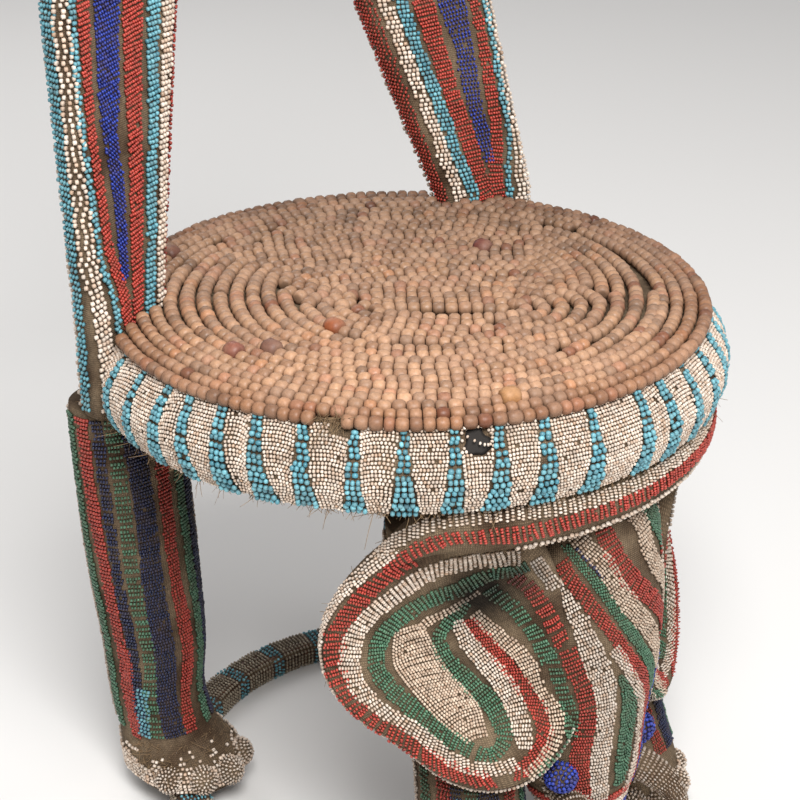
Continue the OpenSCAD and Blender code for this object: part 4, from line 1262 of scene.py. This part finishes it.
def put_threads(name, roots, ways, lengths):
    """Three-sided tubes that curl out of their roots and sink with the square of the way along them."""
    n, t = len(roots), np.linspace(0, 1, 6)
    ways = unit(ways + chance.normal(0, 0.5, (n, 3)))
    curl = chance.normal(0, 0.8, (n, 1, 3)) - [0, 0, 0.2]
    part = t[None, :, None]
    line = roots[:, None] + lengths[:, None, None] * (part * ways[:, None] + part ** 2 * curl)
    side = unit(np.cross(ways, chance.normal(0, 1, (n, 3))))
    top = np.cross(side, ways)
    turn = np.arange(3) * 2 * np.pi / 3
    spread = side[:, None] * np.cos(turn)[None, :, None] + top[:, None] * np.sin(turn)[None, :, None]
    thick = 0.34 * (1 - 0.5 * t)
    corners = line[:, :, None] + spread[:, None] * thick[None, :, None, None]
    points = np.concatenate([corners.reshape(n, 18, 3), line[:, [0, -1]]], 1)
    faces = tube_faces(6, 3)[None] + (np.arange(n) * 20)[:, None, None]
    put_mesh(name, points.reshape(-1, 3), faces.reshape(-1, 3), frayed)


def straight_out(p, x=0.0, y=0.0):
    """Level directions away from an upright line at x, y."""
    return unit((p - [x, y, 0]) * [1, 1, 0])


hem_n, gap_n, foot_n, ear_n = 1300, 90, 450, 130
roots = rim_chart(chance.uniform(0, 360, hem_n), chance.uniform(-1, 1.5, hem_n), 0.5)
put_threads("edge_hem_threads", roots, straight_out(roots) * 0.8 - [0, 0, 0.8], chance.gamma(3, 1.15, hem_n))
a = np.radians(gap_at - 360 + chance.uniform(-2.5, 3, gap_n))
roots = np.stack([222 * np.cos(a), 222 * np.sin(a), chance.uniform(429.5, 433, gap_n)], 1)
put_threads("seat_gap_threads", roots, straight_out(roots) + chance.normal(0, 0.8, (gap_n, 3)),
            chance.gamma(4, 2.2, gap_n))
roots = np.concatenate([foot(chance.uniform(-180, 0, foot_n), chance.uniform(36, 60, foot_n))
                        for foot in (hind_leg_left, right_side(hind_leg_right))])
put_threads("foot_threads", roots, straight_out(roots, 0, hind_y), chance.gamma(3, 1.2, 2 * foot_n))
roots = ear_chart(chance.uniform(99, 106, ear_n), chance.uniform(100, 330, ear_n))
put_threads("ear_threads", roots, straight_out(roots) * 0.3 - [0.3, -0.3, 0.5], chance.gamma(2.5, 1.1, ear_n))

# Bare wood and seat cloth
# The ring's wood, pegs and dowels show only underneath or where cloth is worn through.
# Hardwood, carved and oiled: dark, a low sheen, its grain drawn out along the height
dark_wood, tree, shader = finish_called("oiled_hardwood", Roughness=0.55, IOR=1.45)
place = add_node(tree, "TexCoord")
stretch = add_node(tree, "Mapping", Vector=place.outputs["Object"], Scale=(1, 1, 0.12))
grain = add_node(tree, "TexNoise", Vector=stretch.outputs[0], Scale=1 / (4 * MM), Detail=6.0, Distortion=0.6)
tone = add_node(tree, "ValToRGB", Fac=grain.outputs["Fac"])
tone.color_ramp.elements[0].position = 0.35
tone.color_ramp.elements[0].color = linear("#38261b")
tone.color_ramp.elements[1].position = 0.7
tone.color_ramp.elements[1].color = linear("#6b4b36")
tree.links.new(tone.outputs[0], shader.inputs["Base Color"])
pores = add_node(tree, "Bump", Strength=0.4, Distance=0.4 * MM, Height=grain.outputs["Fac"])
tree.links.new(pores.outputs[0], shader.inputs["Normal"])
for name in ("base_ring", "ring_pegs", "seat_board", "body_dowels", "post_dowels", "crest_dowels"):
    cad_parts[name].data.materials.clear()
    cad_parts[name].data.materials.append(dark_wood)
# The same cotton on the CAD's own pieces, which have no UV map: its weave follows Object coordinates
seat_cotton = cover_cloth.copy()
seat_cotton.name = "woven_cotton_seat_cloth"
tree = seat_cotton.node_tree
place = next(node for node in tree.nodes if node.type == "TEX_COORD")
for wave in [node for node in tree.nodes if node.type == "TEX_WAVE"]:
    tree.links.new(place.outputs["Object"], wave.inputs["Vector"])
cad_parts["seat_cloth"].data.materials.clear()
for name in ("seat_cloth", "eyes", "tusk_left", "tusk_right", "tail", "toenails"):
    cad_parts[name].data.materials.append(seat_cotton)

# Floor, light and camera
# A plain pale floor under soft studio light. The camera looks down at the throne's
# front left from the photograph's side.
floor = bpy.data.meshes.new("floor")
floor.from_pydata([(-6, -6, 0), (6, -6, 0), (6, 6, 0), (-6, 6, 0)], [], [(0, 1, 2, 3)])
floor.materials.append(finish_called("pale_floor", Roughness=0.85, Base_Color=linear("#e9e7e4"))[0])
ground = bpy.data.objects.new("floor", floor)
bpy.context.scene.collection.objects.link(ground)
world = bpy.data.worlds.new("studio")
world.use_nodes = True
world.node_tree.nodes["Background"].inputs[0].default_value = linear("#e6e6e8")
world.node_tree.nodes["Background"].inputs[1].default_value = 0.5
bpy.context.scene.world = world
for name, watts, size, spot in (("key", 84, 1.2, (-0.95, -1.35, 2.3)), ("fill", 14, 2.4, (2.2, -1.6, 1.6)),
                                ("rear", 20, 1.8, (0.6, 2.3, 2.2))):
    lamp = bpy.data.lights.new(name, "AREA")
    lamp.energy = watts
    lamp.size = size
    light = bpy.data.objects.new(name, lamp)
    light.location = spot
    aim = np.array([-0.05, -0.1, 0.4]) - np.array(spot)
    light.rotation_euler = Vector(aim.tolist()).to_track_quat("-Z", "Y").to_euler()
    bpy.context.scene.collection.objects.link(light)
camera_data = bpy.data.cameras.new("photograph")
camera_data.lens = 90
camera_data.sensor_width = 36
camera = bpy.data.objects.new("photograph", camera_data)
camera.location = (-1.005, -0.996, 1.015)
camera_tilt = np.radians(25.37)
look = Vector((np.cos(camera_tilt) * 0.7071, np.cos(camera_tilt) * 0.7071, -np.sin(camera_tilt)))
camera.rotation_euler = look.to_track_quat("-Z", "Y").to_euler()
bpy.context.scene.collection.objects.link(camera)
bpy.context.scene.camera = camera
bpy.context.scene.view_settings.view_transform = "Standard"
